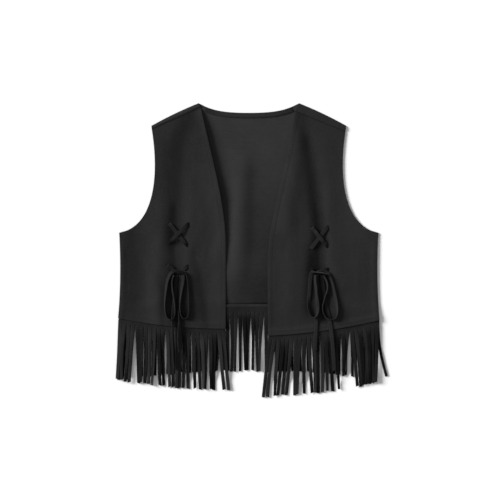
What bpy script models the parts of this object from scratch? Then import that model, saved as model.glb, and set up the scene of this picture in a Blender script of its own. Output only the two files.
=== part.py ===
"""Open-fronted fringed vest in thick brushed cloth, laid out flat on its back.

Metres, with +Z up off the surface and +Y towards the neck. Left and right are the wearer's, so the
right front lies at -X. The cut is drawn about the centre back, x = 0, and the parent empty then puts
the origin on the surface under the middle of the whole vest.
"""

import math
from typing import NamedTuple

import bmesh
import bpy
import numpy as np
from mathutils import Matrix, Vector

# Cloth and seams
CLOTH = 0.0012
FACING_CLOTH = 0.0010
GAP = 0.0003
SIDES = {"right": -1, "left": 1}

# Cut of one half of the body, x measured outwards from the centre back
NECK_POINT = (0.100, 0.293)
SHOULDER_TIP = (0.195, 0.2475)
UNDERARM = (0.259, 0.034)
ARMHOLE_HANDLES = ((0.191, 0.0455), (0.177, 0.1435))
BACK_NECK_HANDLES = ((0.074, 0.277), (0.045, 0.2735))
BACK_NECK_Y = 0.2735
SIDE_HEM_X = 0.261
WAIST_NIP = 0.003
SHOULDER_BOW = 0.0018
SHOULDER_FOLD_RADIUS = 0.00095
FACING_WIDTH = 0.010
FACING_REACH = 0.086

# Hems
BACK_HEM_Y = -0.117
BACK_SIDE_HEM_Y = -0.136
BACK_HEM_CURVE = 2.5
FRONT_HEM_BOW = 0.0055

# Fringe: a strip tucked inside each hem and slit into strands
FRINGE_LAP = 0.008
FRINGE_ROOT = 0.010
SLIT = 0.0006
STRAND_TAPER = 0.26
STRAND_STEPS = (0.16, 0.42, 0.72, 1.0)
STRAND_RISE = 0.0016
STRAND_FALL = 0.15
STRAND_WANDER = 0.0016
STRAND_SHORTEST = 0.97
FRONT_STRAND = 0.1130
BACK_STRAND = 0.117
SWING_CURVES = {"right": 0.9, "left": 0.9, "back": 1.4}

# Lacing: flat thongs, one crossing and one bow on each front
THONG_WIDTH = 0.0075
THONG = 0.0014
CROSSING_FLAT = 0.008
CROSSING_FADE = 0.018
KNOT_SIZE = (0.016, 0.009, 0.0068)
KNOT_BEVEL = 0.0022
LOOP_ROLL_START = math.radians(65)
LOOP_ROLL_END = math.radians(115)
THONG_STEP = 0.009
CROSS_STEPS, LEAD_STEPS = 8, 3

# Heights of the middle of each layer of cloth
BACK_LEVEL = CLOTH / 2
LAPPED = CLOTH + GAP
FLOOR_STRAND_LEVEL = GAP + CLOTH / 2
SHOULDER_LEVEL = BACK_LEVEL + 2 * SHOULDER_FOLD_RADIUS
FRONT_FRINGE_LEVEL = FLOOR_STRAND_LEVEL + STRAND_RISE + LAPPED
FRONT_HEM_LEVEL = FRONT_FRINGE_LEVEL + LAPPED
FRINGE_TOP = FRONT_FRINGE_LEVEL + STRAND_RISE + CLOTH / 2
FRONT_DOME = 0.0030
DOME_REACH = 0.070
HEM_RISE_START = 0.012
HEM_RISE_REACH = 0.050
HEM_SETTLE_REACH = 0.060
HEM_SETTLED = 0.35
FOLD_END_FADE = 0.6

# Sections of each mesh
SIDE_ROWS, ARMHOLE_ROWS = 9, 12
FRONT_COLUMNS = 25
SHOULDER_COLUMNS, NECK_COLUMNS = 6, 14
FACING_COLUMNS = 18
FOLD_STEPS = 5
CURVE_SAMPLES = 200
ROUTE_SAMPLES = 12
RING_SAMPLES = 12

CLOTH_COLOUR = (0.024, 0.024, 0.025, 1.0)
FACING_COLOUR = (0.030, 0.029, 0.030, 1.0)
THONG_COLOUR = (0.017, 0.017, 0.018, 1.0)
CLOTH_ROUGHNESS = 0.92


class Front(NamedTuple):
    """One front: x is measured outwards from the centre back, y up from the middle of the vest.

    The shoulder seam's two ends are given as distances below the shoulder's fold.
    """

    edge_x: float
    edge_hem_y: float
    side_hem_y: float
    break_y: float
    break_handle_y: float
    neck_handle_x: float
    neck_handle_y: float
    seam_at_neck: float
    seam_at_tip: float


FRONTS = {
    "right": Front(0.046, -0.158, -0.137, 0.0095, 0.0895, 0.073, 0.1795, 0.0090, 0.0065),
    "left": Front(0.038, -0.172, -0.141, -0.0245, 0.0555, 0.077, 0.1695, 0.0165, 0.0105),
}


class Fold(NamedTuple):
    """A soft ridge, or a trough where rise is negative, along a straight run of the cloth."""

    from_x: float
    from_y: float
    to_x: float
    to_y: float
    half_width: float
    rise: float


FOLDS = {
    "back": (Fold(-0.013, 0.150, -0.020, -0.035, 0.022, 0.0024),),
    "right": (
        Fold(-0.108, 0.255, -0.134, 0.150, 0.016, -0.0028),
        Fold(-0.136, 0.140, -0.142, -0.090, 0.016, -0.0034),
        Fold(-0.076, 0.190, -0.048, -0.100, 0.026, 0.0034),
        Fold(-0.100, -0.015, -0.082, -0.130, 0.011, -0.0018),
        Fold(-0.213, -0.010, -0.215, -0.090, 0.020, -0.0014),
        Fold(-0.176, 0.010, -0.180, -0.090, 0.014, 0.0010),
    ),
    "left": (
        Fold(0.112, 0.262, 0.139, 0.140, 0.015, -0.0028),
        Fold(0.140, 0.130, 0.149, -0.100, 0.015, -0.0034),
        Fold(0.074, 0.160, 0.044, -0.060, 0.022, 0.0014),
        Fold(0.084, 0.020, 0.080, -0.130, 0.014, 0.0010),
        Fold(0.200, -0.020, 0.206, -0.090, 0.020, -0.0010),
    ),
}


# How far each strand's tip swings sideways, strand by strand from -X to +X
SWINGS = {
    "right": (
        *(-0.0060, -0.0066, -0.0072, -0.0078, 0.0026, -0.0024, -0.0022, -0.0032, -0.0054),
        *(0.0026, 0.0014, 0.0044, 0.0028, 0.0012, -0.0024, -0.0030, -0.0016),
        *(0.0034, 0.0052, 0.0026, -0.0024, 0.0004, -0.0026, 0.0096, 0.0104),
    ),
    "left": (
        *(-0.0134, -0.0138, -0.0080, -0.0106, -0.0096, -0.0108, -0.0024, -0.0064, -0.0006),
        *(0.0066, 0.0044, 0.0018, 0.0012, 0.0026, 0.0050, 0.0086, -0.0040, 0.0002, -0.0036),
        *(0.0112, 0.0096, 0.0070, 0.0044, 0.0018, -0.0008, -0.0036),
    ),
    "back": (
        *(-0.0042, -0.0044, -0.0050, -0.0066, 0.0038, 0.0010, 0.0042, -0.0008, 0.0012, 0.0010),
        *(0.0020, 0.0006, 0.0000, -0.0010, 0.0014, 0.0004, 0.0026, 0.0008, 0.0000, -0.0006),
        *(-0.0014, 0.0020, 0.0006, -0.0044, 0.0030, 0.0018, 0.0000, -0.0020, -0.0002, 0.0020),
        *(-0.0030, -0.0010, 0.0008, -0.0044, 0.0000, -0.0024, 0.0040, 0.0010, -0.0008, 0.0000),
        *(0.0012, -0.0010, 0.0006, 0.0000, -0.0014, 0.0008, 0.0000, 0.0010, -0.0006, 0.0000),
        *(-0.0012, 0.0004, 0.0000, -0.0034, 0.0010, 0.0006, -0.0010, 0.0000, 0.0012, 0.0024, 0.0185),
    ),
}

# Strands that are cut short, by number, with their share of the full length
SHORT_STRANDS = {"right": {}, "left": {16: 0.74, 17: 0.70, 18: 0.72}, "back": {60: 0.94}}


class Lacing(NamedTuple):
    """One front's thong: its straight stretches as two ends, and the bow as routes over the cloth."""

    cross_over: tuple
    cross_under: tuple
    knot: tuple
    lead_outer: tuple
    lead_inner: tuple
    loop_outer: tuple
    loop_inner: tuple
    tail_outer: tuple
    tail_inner: tuple


LACINGS = {
    "right": Lacing(
        cross_over=((-0.1205, 0.0525), (-0.1600, 0.0130)),
        cross_under=((-0.1582, 0.0525), (-0.1232, 0.0075)),
        knot=(-0.1400, -0.0450),
        lead_outer=((-0.1636, -0.0300), (-0.1500, -0.0395)),
        lead_inner=((-0.1222, -0.0320), (-0.1310, -0.0395)),
        loop_outer=(
            (-0.1502, -0.0440),
            (-0.1560, -0.0475),
            (-0.1622, -0.0620),
            (-0.1655, -0.0830),
            (-0.1675, -0.1080),
            (-0.1650, -0.1300),
            (-0.1580, -0.1400),
            (-0.1505, -0.1370),
            (-0.1475, -0.1250),
            (-0.1485, -0.1060),
            (-0.1515, -0.0810),
            (-0.1515, -0.0630),
            (-0.1485, -0.0502),
        ),
        loop_inner=(
            (-0.1312, -0.0502),
            (-0.1318, -0.0640),
            (-0.1350, -0.0820),
            (-0.1375, -0.1080),
            (-0.1362, -0.1280),
            (-0.1300, -0.1385),
            (-0.1225, -0.1340),
            (-0.1190, -0.1180),
            (-0.1180, -0.0920),
            (-0.1200, -0.0660),
            (-0.1240, -0.0490),
            (-0.1298, -0.0440),
        ),
        tail_outer=(
            (-0.1445, -0.0502),
            (-0.1475, -0.0900),
            (-0.1512, -0.1300),
            (-0.1518, -0.1700),
            (-0.1506, -0.2100),
            (-0.1490, -0.2380),
        ),
        tail_inner=(
            (-0.1355, -0.0502),
            (-0.1375, -0.1000),
            (-0.1390, -0.1400),
            (-0.1412, -0.1760),
            (-0.1398, -0.2040),
        ),
    ),
    "left": Lacing(
        cross_over=((0.1254, 0.0453), (0.1568, 0.0057)),
        cross_under=((0.1578, 0.0461), (0.1244, 0.0021)),
        knot=(0.1405, -0.0450),
        lead_outer=((0.1590, -0.0385), (0.1500, -0.0415)),
        lead_inner=((0.1225, -0.0395), (0.1310, -0.0415)),
        loop_outer=(
            (0.1485, -0.0502),
            (0.1555, -0.0640),
            (0.1570, -0.0770),
            (0.1515, -0.0960),
            (0.1470, -0.1160),
            (0.1520, -0.1330),
            (0.1630, -0.1390),
            (0.1735, -0.1360),
            (0.1770, -0.1200),
            (0.1720, -0.0920),
            (0.1650, -0.0640),
            (0.1575, -0.0475),
            (0.1507, -0.0440),
        ),
        loop_inner=(
            (0.1303, -0.0440),
            (0.1250, -0.0480),
            (0.1222, -0.0680),
            (0.1210, -0.0880),
            (0.1190, -0.1100),
            (0.1230, -0.1280),
            (0.1310, -0.1360),
            (0.1370, -0.1250),
            (0.1362, -0.1000),
            (0.1340, -0.0770),
            (0.1322, -0.0620),
            (0.1325, -0.0502),
        ),
        tail_outer=(
            (0.1450, -0.0502),
            (0.1525, -0.1000),
            (0.1610, -0.1400),
            (0.1662, -0.1760),
            (0.1696, -0.2200),
            (0.1710, -0.2420),
        ),
        tail_inner=(
            (0.1360, -0.0502),
            (0.1352, -0.1000),
            (0.1348, -0.1400),
            (0.1330, -0.1760),
            (0.1326, -0.2020),
        ),
    ),
}


def smooth(start, end, value):
    """0 before start, 1 after end, and an even S between them."""
    t = np.clip((np.asarray(value, float) - start) / (end - start), 0, 1)
    return t * t * (3 - 2 * t)


def bezier(p0, p1, p2, p3, samples=CURVE_SAMPLES):
    t = np.linspace(0, 1, samples + 1)[:, None]
    p0, p1, p2, p3 = map(np.array, (p0, p1, p2, p3))
    return (1 - t) ** 3 * p0 + 3 * (1 - t) ** 2 * t * p1 + 3 * (1 - t) * t**2 * p2 + t**3 * p3


def along_lengths(points):
    return np.concatenate([[0], np.cumsum(np.linalg.norm(np.diff(points, axis=0), axis=1))])


def at_lengths(points, lengths):
    """Points at these lengths along a line of points."""
    along = along_lengths(points)
    return np.stack([np.interp(lengths, along, axis) for axis in points.T], axis=1)


def evenly(points, count):
    """A line of points again, as count equal steps."""
    return at_lengths(points, np.linspace(0, along_lengths(points)[-1], count + 1))


def at_heights(points, heights):
    """Points of a rising line at these heights."""
    return np.stack([np.interp(heights, points[:, 1], points[:, 0]), heights], axis=1)


def through(points, step):
    """A smooth line through hand-set points, cut into equal steps: a Catmull-Rom curve."""
    p = np.array(points, float)
    p = np.vstack([2 * p[0] - p[1], p, 2 * p[-1] - p[-2]])
    t = np.linspace(0, 1, ROUTE_SAMPLES, endpoint=False)[:, None]
    line = [
        0.5 * (2 * b + (c - a) * t + (2 * a - 5 * b + 4 * c - d) * t**2 + (3 * b - a - 3 * c + d) * t**3)
        for a, b, c, d in zip(p[:-3], p[1:-2], p[2:-1], p[3:])
    ]
    line = np.vstack([*line, p[-2:-1]])
    return evenly(line, max(2, round(along_lengths(line)[-1] / step)))


# Outlines of the cut

SHOULDER_RUN = np.subtract(NECK_POINT, SHOULDER_TIP)
SHOULDER_OUT = np.array((SHOULDER_RUN[1], -SHOULDER_RUN[0])) / np.linalg.norm(SHOULDER_RUN)
ARMHOLE = bezier(UNDERARM, *ARMHOLE_HANDLES, SHOULDER_TIP)
BACK_NECK = bezier(NECK_POINT, *BACK_NECK_HANDLES, (0, BACK_NECK_Y))


def below_shoulder(points):
    """Distance of points on the +X half down from the shoulder's fold, square to it."""
    return -(np.asarray(points) - NECK_POINT) @ SHOULDER_OUT


def side_seam(hem_y):
    """The side from hem to underarm, drawn in a little at the waist."""
    rise = np.linspace(0, 1, CURVE_SAMPLES + 1)
    x = SIDE_HEM_X + (UNDERARM[0] - SIDE_HEM_X) * rise - WAIST_NIP * 4 * rise * (1 - rise)
    return np.stack([x, hem_y + (UNDERARM[1] - hem_y) * rise], axis=1)


def armhole_to(drop):
    """The armhole from the underarm to this distance below the shoulder's fold."""
    upper = ARMHOLE[len(ARMHOLE) // 2 :]
    end = [np.interp(-drop, -below_shoulder(upper), axis) for axis in upper.T]
    return np.vstack([ARMHOLE[below_shoulder(ARMHOLE) > drop], end])


def seam_drop(front, points):
    """How far the shoulder seam lies below the fold, at points on the +X half."""
    share = (np.asarray(points) - SHOULDER_TIP) @ SHOULDER_RUN / (SHOULDER_RUN @ SHOULDER_RUN)
    return front.seam_at_tip + (front.seam_at_neck - front.seam_at_tip) * np.clip(share, 0, 1)


def outer_edge(hem_y, drop):
    """Hem to shoulder along the side seam and the armhole, with a point on the underarm's corner."""
    return np.vstack([evenly(side_seam(hem_y), SIDE_ROWS), evenly(armhole_to(drop), ARMHOLE_ROWS)[1:]])


def front_edge(front):
    """The free edge of a front, from the hem up to the shoulder seam at the neck."""
    neck = np.subtract(NECK_POINT, SHOULDER_OUT * (front.seam_at_neck + GAP))
    straight = np.array([(front.edge_x, front.edge_hem_y), (front.edge_x, front.break_y)])
    handles = (front.edge_x, front.break_handle_y), (front.neck_handle_x, front.neck_handle_y)
    return np.vstack([straight, bezier(straight[1], *handles, neck)[1:]])


def front_hem_y(front, x):
    """A front's hem, which falls from the side to the free edge and bows down between them."""
    share = (np.abs(x) - front.edge_x) / (SIDE_HEM_X - front.edge_x)
    fall = front.edge_hem_y + (front.side_hem_y - front.edge_hem_y) * share
    return fall - FRONT_HEM_BOW * 4 * share * (1 - share)


def back_hem_y(x):
    share = np.clip(np.abs(x) / SIDE_HEM_X, 0, 1) ** BACK_HEM_CURVE
    return BACK_HEM_Y + (BACK_SIDE_HEM_Y - BACK_HEM_Y) * share


def back_fringe_end_y(x):
    return back_hem_y(x) - FRINGE_ROOT - BACK_STRAND


# Heights of the cloth

def folds_at(folds, x, y):
    """The height that a set of folds adds: each is a bell across its run, faded out past its ends."""
    height = np.zeros(np.broadcast(x, y).shape)
    for fold in folds:
        run_x, run_y = fold.to_x - fold.from_x, fold.to_y - fold.from_y
        length = math.hypot(run_x, run_y)
        along = ((x - fold.from_x) * run_x + (y - fold.from_y) * run_y) / length
        across = ((x - fold.from_x) * run_y - (y - fold.from_y) * run_x) / length
        past_end = np.maximum(0, np.maximum(-along, along - length))
        away = np.hypot(across, past_end * FOLD_END_FADE) / fold.half_width
        height += fold.rise * np.exp(-(away**2))
    return height


def back_level(x, y):
    return BACK_LEVEL + folds_at(FOLDS["back"], x, y)


def front_level(side, x, y):
    """Middle of a front's cloth: low along the seams, up on the fringes at the hem, and domed between.

    The dome and its folds settle towards the hem.
    """
    front = FRONTS[side]
    outer = outer_edge(front.side_hem_y, front.seam_at_tip)
    from_side = np.interp(y, outer[:, 1], outer[:, 0]) - np.abs(x)
    plan = np.stack(np.broadcast_arrays(np.abs(x), y), axis=-1)
    from_shoulder = below_shoulder(plan) - seam_drop(front, plan)
    seated = smooth(0, DOME_REACH, from_side) * smooth(0, DOME_REACH, from_shoulder)
    above_hem = smooth(0, HEM_SETTLE_REACH, y - front_hem_y(front, x))
    settled = HEM_SETTLED + (1 - HEM_SETTLED) * above_hem
    dome = (FRONT_DOME + folds_at(FOLDS[side], x, y)) * seated * settled
    above_back_hem = y - back_hem_y(x) - FRINGE_LAP
    on_fringes = 1 - smooth(HEM_RISE_START, HEM_RISE_REACH, above_back_hem)
    seat = SHOULDER_LEVEL + (FRONT_HEM_LEVEL - SHOULDER_LEVEL) * on_fringes
    return seat + np.maximum(dome, 0) + folds_at(FOLDS["back"], x, y)


def top_of_front(side, x, y, reach):
    """The highest cloth within reach of a point: the front, or its fringe below the hem."""
    below_hem = y < front_hem_y(FRONTS[side], x) + reach
    tops = [np.where(below_hem, FRINGE_TOP, 0)]
    for angle in np.linspace(0, 2 * math.pi, RING_SAMPLES, endpoint=False):
        px, py = x + reach * math.cos(angle), y + reach * math.sin(angle)
        tops.append(front_level(side, px, np.maximum(py, front_hem_y(FRONTS[side], px))) + CLOTH / 2)
    return np.max(tops, axis=0)


# Meshes

def clear_scene():
    for obj in list(bpy.data.objects):
        bpy.data.objects.remove(obj)


def material(name, colour):
    made = bpy.data.materials.new(name)
    made.use_nodes = True
    shader = made.node_tree.nodes["Principled BSDF"]
    shader.inputs["Base Color"].default_value = colour
    shader.inputs["Roughness"].default_value = CLOTH_ROUGHNESS
    shader.inputs["Metallic"].default_value = 0.0
    return made


def grid_sheet(rows, columns):
    """A flat grid and its vertices as rows of columns."""
    mesh = bmesh.new()
    bmesh.ops.create_grid(mesh, x_segments=columns - 1, y_segments=rows - 1, size=1)
    ordered = sorted(mesh.verts, key=lambda v: (round(v.co.y, 5), round(v.co.x, 5)))
    return mesh, [ordered[row * columns : (row + 1) * columns] for row in range(rows)]


def place(verts, points):
    for vert, point in zip(verts, points):
        vert.co = point


def extrude_row(mesh, verts, points):
    """Carries a row of neighbouring vertices on to new places and returns the new row."""
    edges = [mesh.edges.get(pair) for pair in zip(verts[:-1], verts[1:])]
    made = bmesh.ops.extrude_edge_only(mesh, edges=edges)["geom"]
    new = {v for v in made if isinstance(v, bmesh.types.BMVert)}
    row = [next(e.other_vert(v) for e in v.link_edges if e.other_vert(v) in new) for v in verts]
    place(row, points)
    return row


def finish_wall(name, mesh, thickness, finish):
    """The sheet as an object, with its cloth's thickness half to each side."""
    bmesh.ops.recalc_face_normals(mesh, faces=mesh.faces)
    data = bpy.data.meshes.new(name)
    mesh.to_mesh(data)
    mesh.free()
    data.shade_smooth()
    data.materials.append(finish)
    obj = bpy.data.objects.new(name, data)
    wall = obj.modifiers.new("wall", "SOLIDIFY")
    wall.thickness = thickness
    wall.offset = 0
    wall.use_even_offset = True
    return obj


def coons(bottom, top, inner, outer, u, v):
    """Points between four edges that meet at their corners: the usual sum of the two ruled sheets."""
    u, v = u[None, :, None], v[:, None, None]
    across = (1 - u) * inner[:, None] + u * outer[:, None]
    upward = (1 - v) * bottom[None] + v * top[None]
    corners = (1 - v) * ((1 - u) * inner[0] + u * outer[0]) + v * ((1 - u) * inner[-1] + u * outer[-1])
    return across + upward - corners


def with_height(points, height):
    return np.concatenate([points, np.asarray(height)[..., None]], axis=-1)


def wall_from_grid(name, points, thickness, finish):
    mesh, rows = grid_sheet(*points.shape[:2])
    for verts, line in zip(rows, points):
        place(verts, line)
    return finish_wall(name, mesh, thickness, finish)


def make_front(side, finish):
    front, sign = FRONTS[side], SIDES[side]
    outer = outer_edge(front.side_hem_y, front.seam_at_tip + GAP)
    rise = (outer[:, 1] - outer[0, 1]) / (outer[-1, 1] - outer[0, 1])
    free_edge = front_edge(front)
    inner = at_heights(free_edge, free_edge[0, 1] + rise * (free_edge[-1, 1] - free_edge[0, 1]))
    across = np.linspace(0, 1, FRONT_COLUMNS)
    hem_x = front.edge_x + (SIDE_HEM_X - front.edge_x) * across
    hem = np.stack([hem_x, front_hem_y(front, hem_x)], axis=1)
    seam = inner[-1] + (outer[-1] - inner[-1]) * across[:, None]
    flat = coons(hem, seam, inner, outer, across, rise) * (sign, 1)
    points = with_height(flat, front_level(side, *np.moveaxis(flat, -1, 0)))
    return wall_from_grid(f"{side}_front", points, CLOTH, finish)


def back_top():
    """The back's upper edge from -X to +X: each shoulder up to its fold, and the neck between them."""
    inset = SHOULDER_OUT * (SHOULDER_FOLD_RADIUS + CLOTH / 2)
    share = np.linspace(0, 1, SHOULDER_COLUMNS + 1)[:, None]
    shoulder = np.subtract(SHOULDER_TIP, inset) + SHOULDER_RUN * share
    shoulder += SHOULDER_OUT * SHOULDER_BOW * 4 * share * (1 - share)
    below_fold = BACK_NECK[below_shoulder(BACK_NECK) > 2 * np.linalg.norm(inset)]
    neck = evenly(np.vstack([shoulder[-1], below_fold]), NECK_COLUMNS // 2)
    half = np.vstack([shoulder, neck[1:]])
    return np.vstack([half * (-1, 1), half[-2::-1]])


def fold_shoulder(mesh, verts, side):
    """Carries a shoulder's edge round its fold and down the front side as far as the shoulder seam."""
    front, sign = FRONTS[side], SIDES[side]
    start = np.array([v.co for v in verts])
    out = np.array((sign * SHOULDER_OUT[0], SHOULDER_OUT[1], 0))
    for angle in np.linspace(0, math.pi, FOLD_STEPS + 1)[1:]:
        turn = math.sin(angle) * out + (0, 0, 1 - math.cos(angle))
        row = start + SHOULDER_FOLD_RADIUS * turn
        verts = extrude_row(mesh, verts, row)
    tip = armhole_to(front.seam_at_tip)[-1]
    neck = np.subtract(NECK_POINT, SHOULDER_OUT * front.seam_at_neck)
    seam = tip + (neck - tip) * np.linspace(0, 1, SHOULDER_COLUMNS + 1)[:, None]
    seam = with_height(seam * (sign, 1), np.full(len(seam), SHOULDER_LEVEL))
    extrude_row(mesh, verts, seam)


def make_back(finish):
    top = back_top()
    outer = outer_edge(BACK_SIDE_HEM_Y, SHOULDER_FOLD_RADIUS + CLOTH / 2)
    outer[-1] = top[-1]
    rise = (outer[:, 1] - outer[0, 1]) / (outer[-1, 1] - outer[0, 1])
    across = (top[:, 0] - top[0, 0]) / (top[-1, 0] - top[0, 0])
    hem_x = SIDE_HEM_X * (2 * across - 1)
    hem = np.stack([hem_x, back_hem_y(hem_x)], axis=1)
    flat = coons(hem, top, outer * (-1, 1), outer, across, rise)
    points = with_height(flat, back_level(*np.moveaxis(flat, -1, 0)))
    mesh, rows = grid_sheet(*points.shape[:2])
    for verts, line in zip(rows, points):
        place(verts, line)
    fold_shoulder(mesh, rows[-1][: SHOULDER_COLUMNS + 1], "right")
    fold_shoulder(mesh, rows[-1][::-1][: SHOULDER_COLUMNS + 1], "left")
    return finish_wall("back", mesh, CLOTH, finish)


def make_neck_facing(finish):
    """The turned edge of the back neck: a strip on the inside, following the neckline."""
    half = BACK_NECK[BACK_NECK[:, 0] <= FACING_REACH]
    line = evenly(np.vstack([half * (-1, 1), half[-2::-1]]), FACING_COLUMNS)
    run = np.gradient(line, axis=0)
    down = np.stack([run[:, 1], -run[:, 0]], axis=1) / np.linalg.norm(run, axis=1)[:, None]
    flat = np.stack([line + down * FACING_WIDTH * share for share in (1.0, 0.5, 0.0)])
    lifted = back_level(*np.moveaxis(flat, -1, 0)) + CLOTH / 2 + GAP + FACING_CLOTH / 2
    return wall_from_grid("neck_facing", with_height(flat, lifted), FACING_CLOTH, finish)


def make_fringe(name, panel, hem, length, root_level, strand_level, seed, finish):
    """A strip tucked inside a hem and slit into strands, which lie alternately low and high.

    hem runs from -X to +X. The strands leave the strip downwards, swing sideways each by its own amount,
    and sink towards the surface where the fringe of the back no longer lies under them.
    """
    chance = np.random.default_rng(seed)
    swings = SWINGS[panel]
    strands = len(swings)
    edges = np.repeat(np.arange(strands + 1), 2)[1:-1] / strands * along_lengths(hem)[-1]
    edges += np.tile((SLIT / 2, -SLIT / 2), strands)
    line = at_lengths(hem, edges)
    mesh, rows = grid_sheet(2, 2 * strands)
    for verts, drop in zip(rows, (-FRINGE_ROOT, FRINGE_LAP)):
        place(verts, with_height(line + (0, drop), np.full(len(line), root_level)))
    for i in range(strands):
        verts = rows[0][2 * i : 2 * i + 2]
        root = np.mean([v.co for v in verts], axis=0)
        half = (line[2 * i + 1, 0] - line[2 * i, 0]) / 2
        swing = swings[i]
        wander, reach = chance.uniform(-STRAND_WANDER, STRAND_WANDER), chance.uniform(STRAND_SHORTEST, 1)
        reach *= SHORT_STRANDS[panel].get(i, 1.0)
        lie = FLOOR_STRAND_LEVEL + STRAND_RISE * (i % 2)
        level = strand_level + STRAND_RISE * (i % 2)
        y = root[1]
        for t in STRAND_STEPS:
            above = y
            x = root[0] + swing * t ** SWING_CURVES[panel] + wander * math.sin(math.pi * t)
            y = root[1] - length * reach * t
            clear_of_back = above < back_fringe_end_y(x)
            settled = max(lie, level - STRAND_FALL * (above - y)) if clear_of_back else level
            z = root_level + (settled - root_level) * float(smooth(0, STRAND_STEPS[1], t))
            width = half * (1 - STRAND_TAPER * t)
            verts = extrude_row(mesh, verts, [(x - width, y, z), (x + width, y, z)])
    return finish_wall(name, mesh, CLOTH, finish)


def make_thong(name, centre, roll, finish):
    """A flat thong along a line of points. Roll 0 lies flat, and a quarter turn stands on its edge."""
    run = np.gradient(centre, axis=0)
    run /= np.linalg.norm(run, axis=1)[:, None]
    side = np.cross((0, 0, 1), run)
    side /= np.linalg.norm(side, axis=1)[:, None]
    across = np.cos(roll)[:, None] * side + np.sin(roll)[:, None] * np.cross(run, side)
    edges = [centre + sign * (THONG_WIDTH / 2) * across for sign in (-1, 1)]
    return wall_from_grid(name, np.stack(edges, axis=1), THONG, finish)


def lying(side, line, reach=THONG_WIDTH / 2, lift=0.0):
    """A line laid over a front, half a thong above the highest cloth within reach of it."""
    height = top_of_front(side, line[:, 0], line[:, 1], reach) + GAP + THONG / 2
    return with_height(line, height + lift)


def taut(side, ends):
    """A straight stretch between two holes, which bridges any trough between them."""
    laid = lying(side, evenly(np.array(ends), CROSS_STEPS))
    laid[:, 2] = np.maximum(laid[:, 2], np.linspace(laid[0, 2], laid[-1, 2], len(laid)))
    return laid


def make_crossing(name, side, under_ends, over_ends, finish):
    """Two taut stretches, the second raised in its middle to pass over the first."""
    under, over = taut(side, under_ends), taut(side, over_ends)
    length = along_lengths(over)
    from_middle = np.abs(length - length[-1] / 2)
    bridge = under[:, 2].max() + THONG + 2 * GAP
    over[:, 2] += np.maximum(0, bridge - over[:, 2]) * (1 - smooth(CROSSING_FLAT, CROSSING_FADE, from_middle))
    flat = np.zeros(len(under))
    return [
        make_thong(f"{name}_cross_under", under, flat, finish),
        make_thong(f"{name}_cross_over", over, flat, finish),
    ]


def make_lead(name, side, ends, finish):
    """The short stretch from a hole to the knot."""
    laid = lying(side, evenly(np.array(ends), LEAD_STEPS), THONG_WIDTH)
    return make_thong(name, laid, np.zeros(len(laid)), finish)


def make_tail(name, side, route, finish):
    laid = lying(side, through(route, THONG_STEP), THONG_WIDTH)
    return make_thong(name, laid, np.zeros(len(laid)), finish)


def make_loop(name, side, route, finish):
    """One loop of the bow: it stands on its edge on the tails, and turns half over from end to end."""
    line = through(route, THONG_STEP)
    laid = lying(side, line, THONG_WIDTH, THONG / 2 + 2 * GAP + THONG_WIDTH / 2)
    share = along_lengths(line) / along_lengths(line)[-1]
    return make_thong(name, laid, LOOP_ROLL_START + (LOOP_ROLL_END - LOOP_ROLL_START) * share, finish)


def make_knot(name, side, centre, finish):
    bpy.ops.mesh.primitive_cube_add(size=1)
    obj = bpy.context.object
    obj.name = obj.data.name = name
    x, y = (np.array([v]) for v in centre)
    base = top_of_front(side, x, y, KNOT_SIZE[0] / 2)[0] + GAP
    obj.data.transform(Matrix.Diagonal((*KNOT_SIZE, 1.0)))
    obj.location = (*centre, base + KNOT_SIZE[2] / 2)
    bevel = obj.modifiers.new("rounding", "BEVEL")
    bevel.width = KNOT_BEVEL
    bevel.segments = 2
    obj.data.shade_smooth()
    obj.data.materials.append(finish)
    return obj


def make_lacing(side, finish):
    lacing = LACINGS[side]
    name = f"{side}_lace"
    made = make_crossing(name, side, lacing.cross_under, lacing.cross_over, finish)
    made.append(make_knot(f"{name}_knot", side, lacing.knot, finish))
    for place_name in ("outer", "inner"):
        made += [
            make_lead(f"{name}_lead_{place_name}", side, getattr(lacing, f"lead_{place_name}"), finish),
            make_loop(f"{name}_loop_{place_name}", side, getattr(lacing, f"loop_{place_name}"), finish),
            make_tail(f"{name}_tail_{place_name}", side, getattr(lacing, f"tail_{place_name}"), finish),
        ]
    return made


def hem_line(hem_y, from_x, to_x):
    x = np.linspace(from_x, to_x, CURVE_SAMPLES + 1)
    return np.stack([x, hem_y(x)], axis=1)


def make_fringes(finish):
    spans = {"right": (-SIDE_HEM_X, -FRONTS["right"].edge_x), "left": (FRONTS["left"].edge_x, SIDE_HEM_X)}
    made = []
    for seed, (side, span) in enumerate(spans.items()):
        front = FRONTS[side]
        hem = hem_line(lambda x, cut=front: front_hem_y(cut, x), *span)
        levels = FRONT_FRINGE_LEVEL, FRONT_FRINGE_LEVEL
        name = f"{side}_front_fringe"
        made.append(make_fringe(name, side, hem, FRONT_STRAND, *levels, seed, finish))
    hem = hem_line(back_hem_y, -SIDE_HEM_X, SIDE_HEM_X)
    levels = BACK_LEVEL + LAPPED, FLOOR_STRAND_LEVEL
    made.append(make_fringe("back_fringe", "back", hem, BACK_STRAND, *levels, len(made), finish))
    return made


def gather(parts, on_thong):
    """Puts the parts in one collection, on an empty that carries the origin to the middle of the vest."""
    collection = bpy.data.collections.new("vest")
    bpy.context.scene.collection.children.link(collection)
    for obj in parts:
        for other in list(obj.users_collection):
            other.objects.unlink(obj)
        collection.objects.link(obj)
    bpy.context.view_layer.update()
    graph = bpy.context.evaluated_depsgraph_get()
    held = [obj.evaluated_get(graph) for obj in parts if obj not in on_thong]
    corners = np.array([obj.matrix_world @ Vector(corner) for obj in held for corner in obj.bound_box])
    low, high = corners.min(axis=0), corners.max(axis=0)
    middle = bpy.data.objects.new("vest_origin", None)
    collection.objects.link(middle)
    middle.location = (-(low[0] + high[0]) / 2, -(low[1] + high[1]) / 2, -low[2])
    for obj in parts:
        obj.parent = middle


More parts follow.
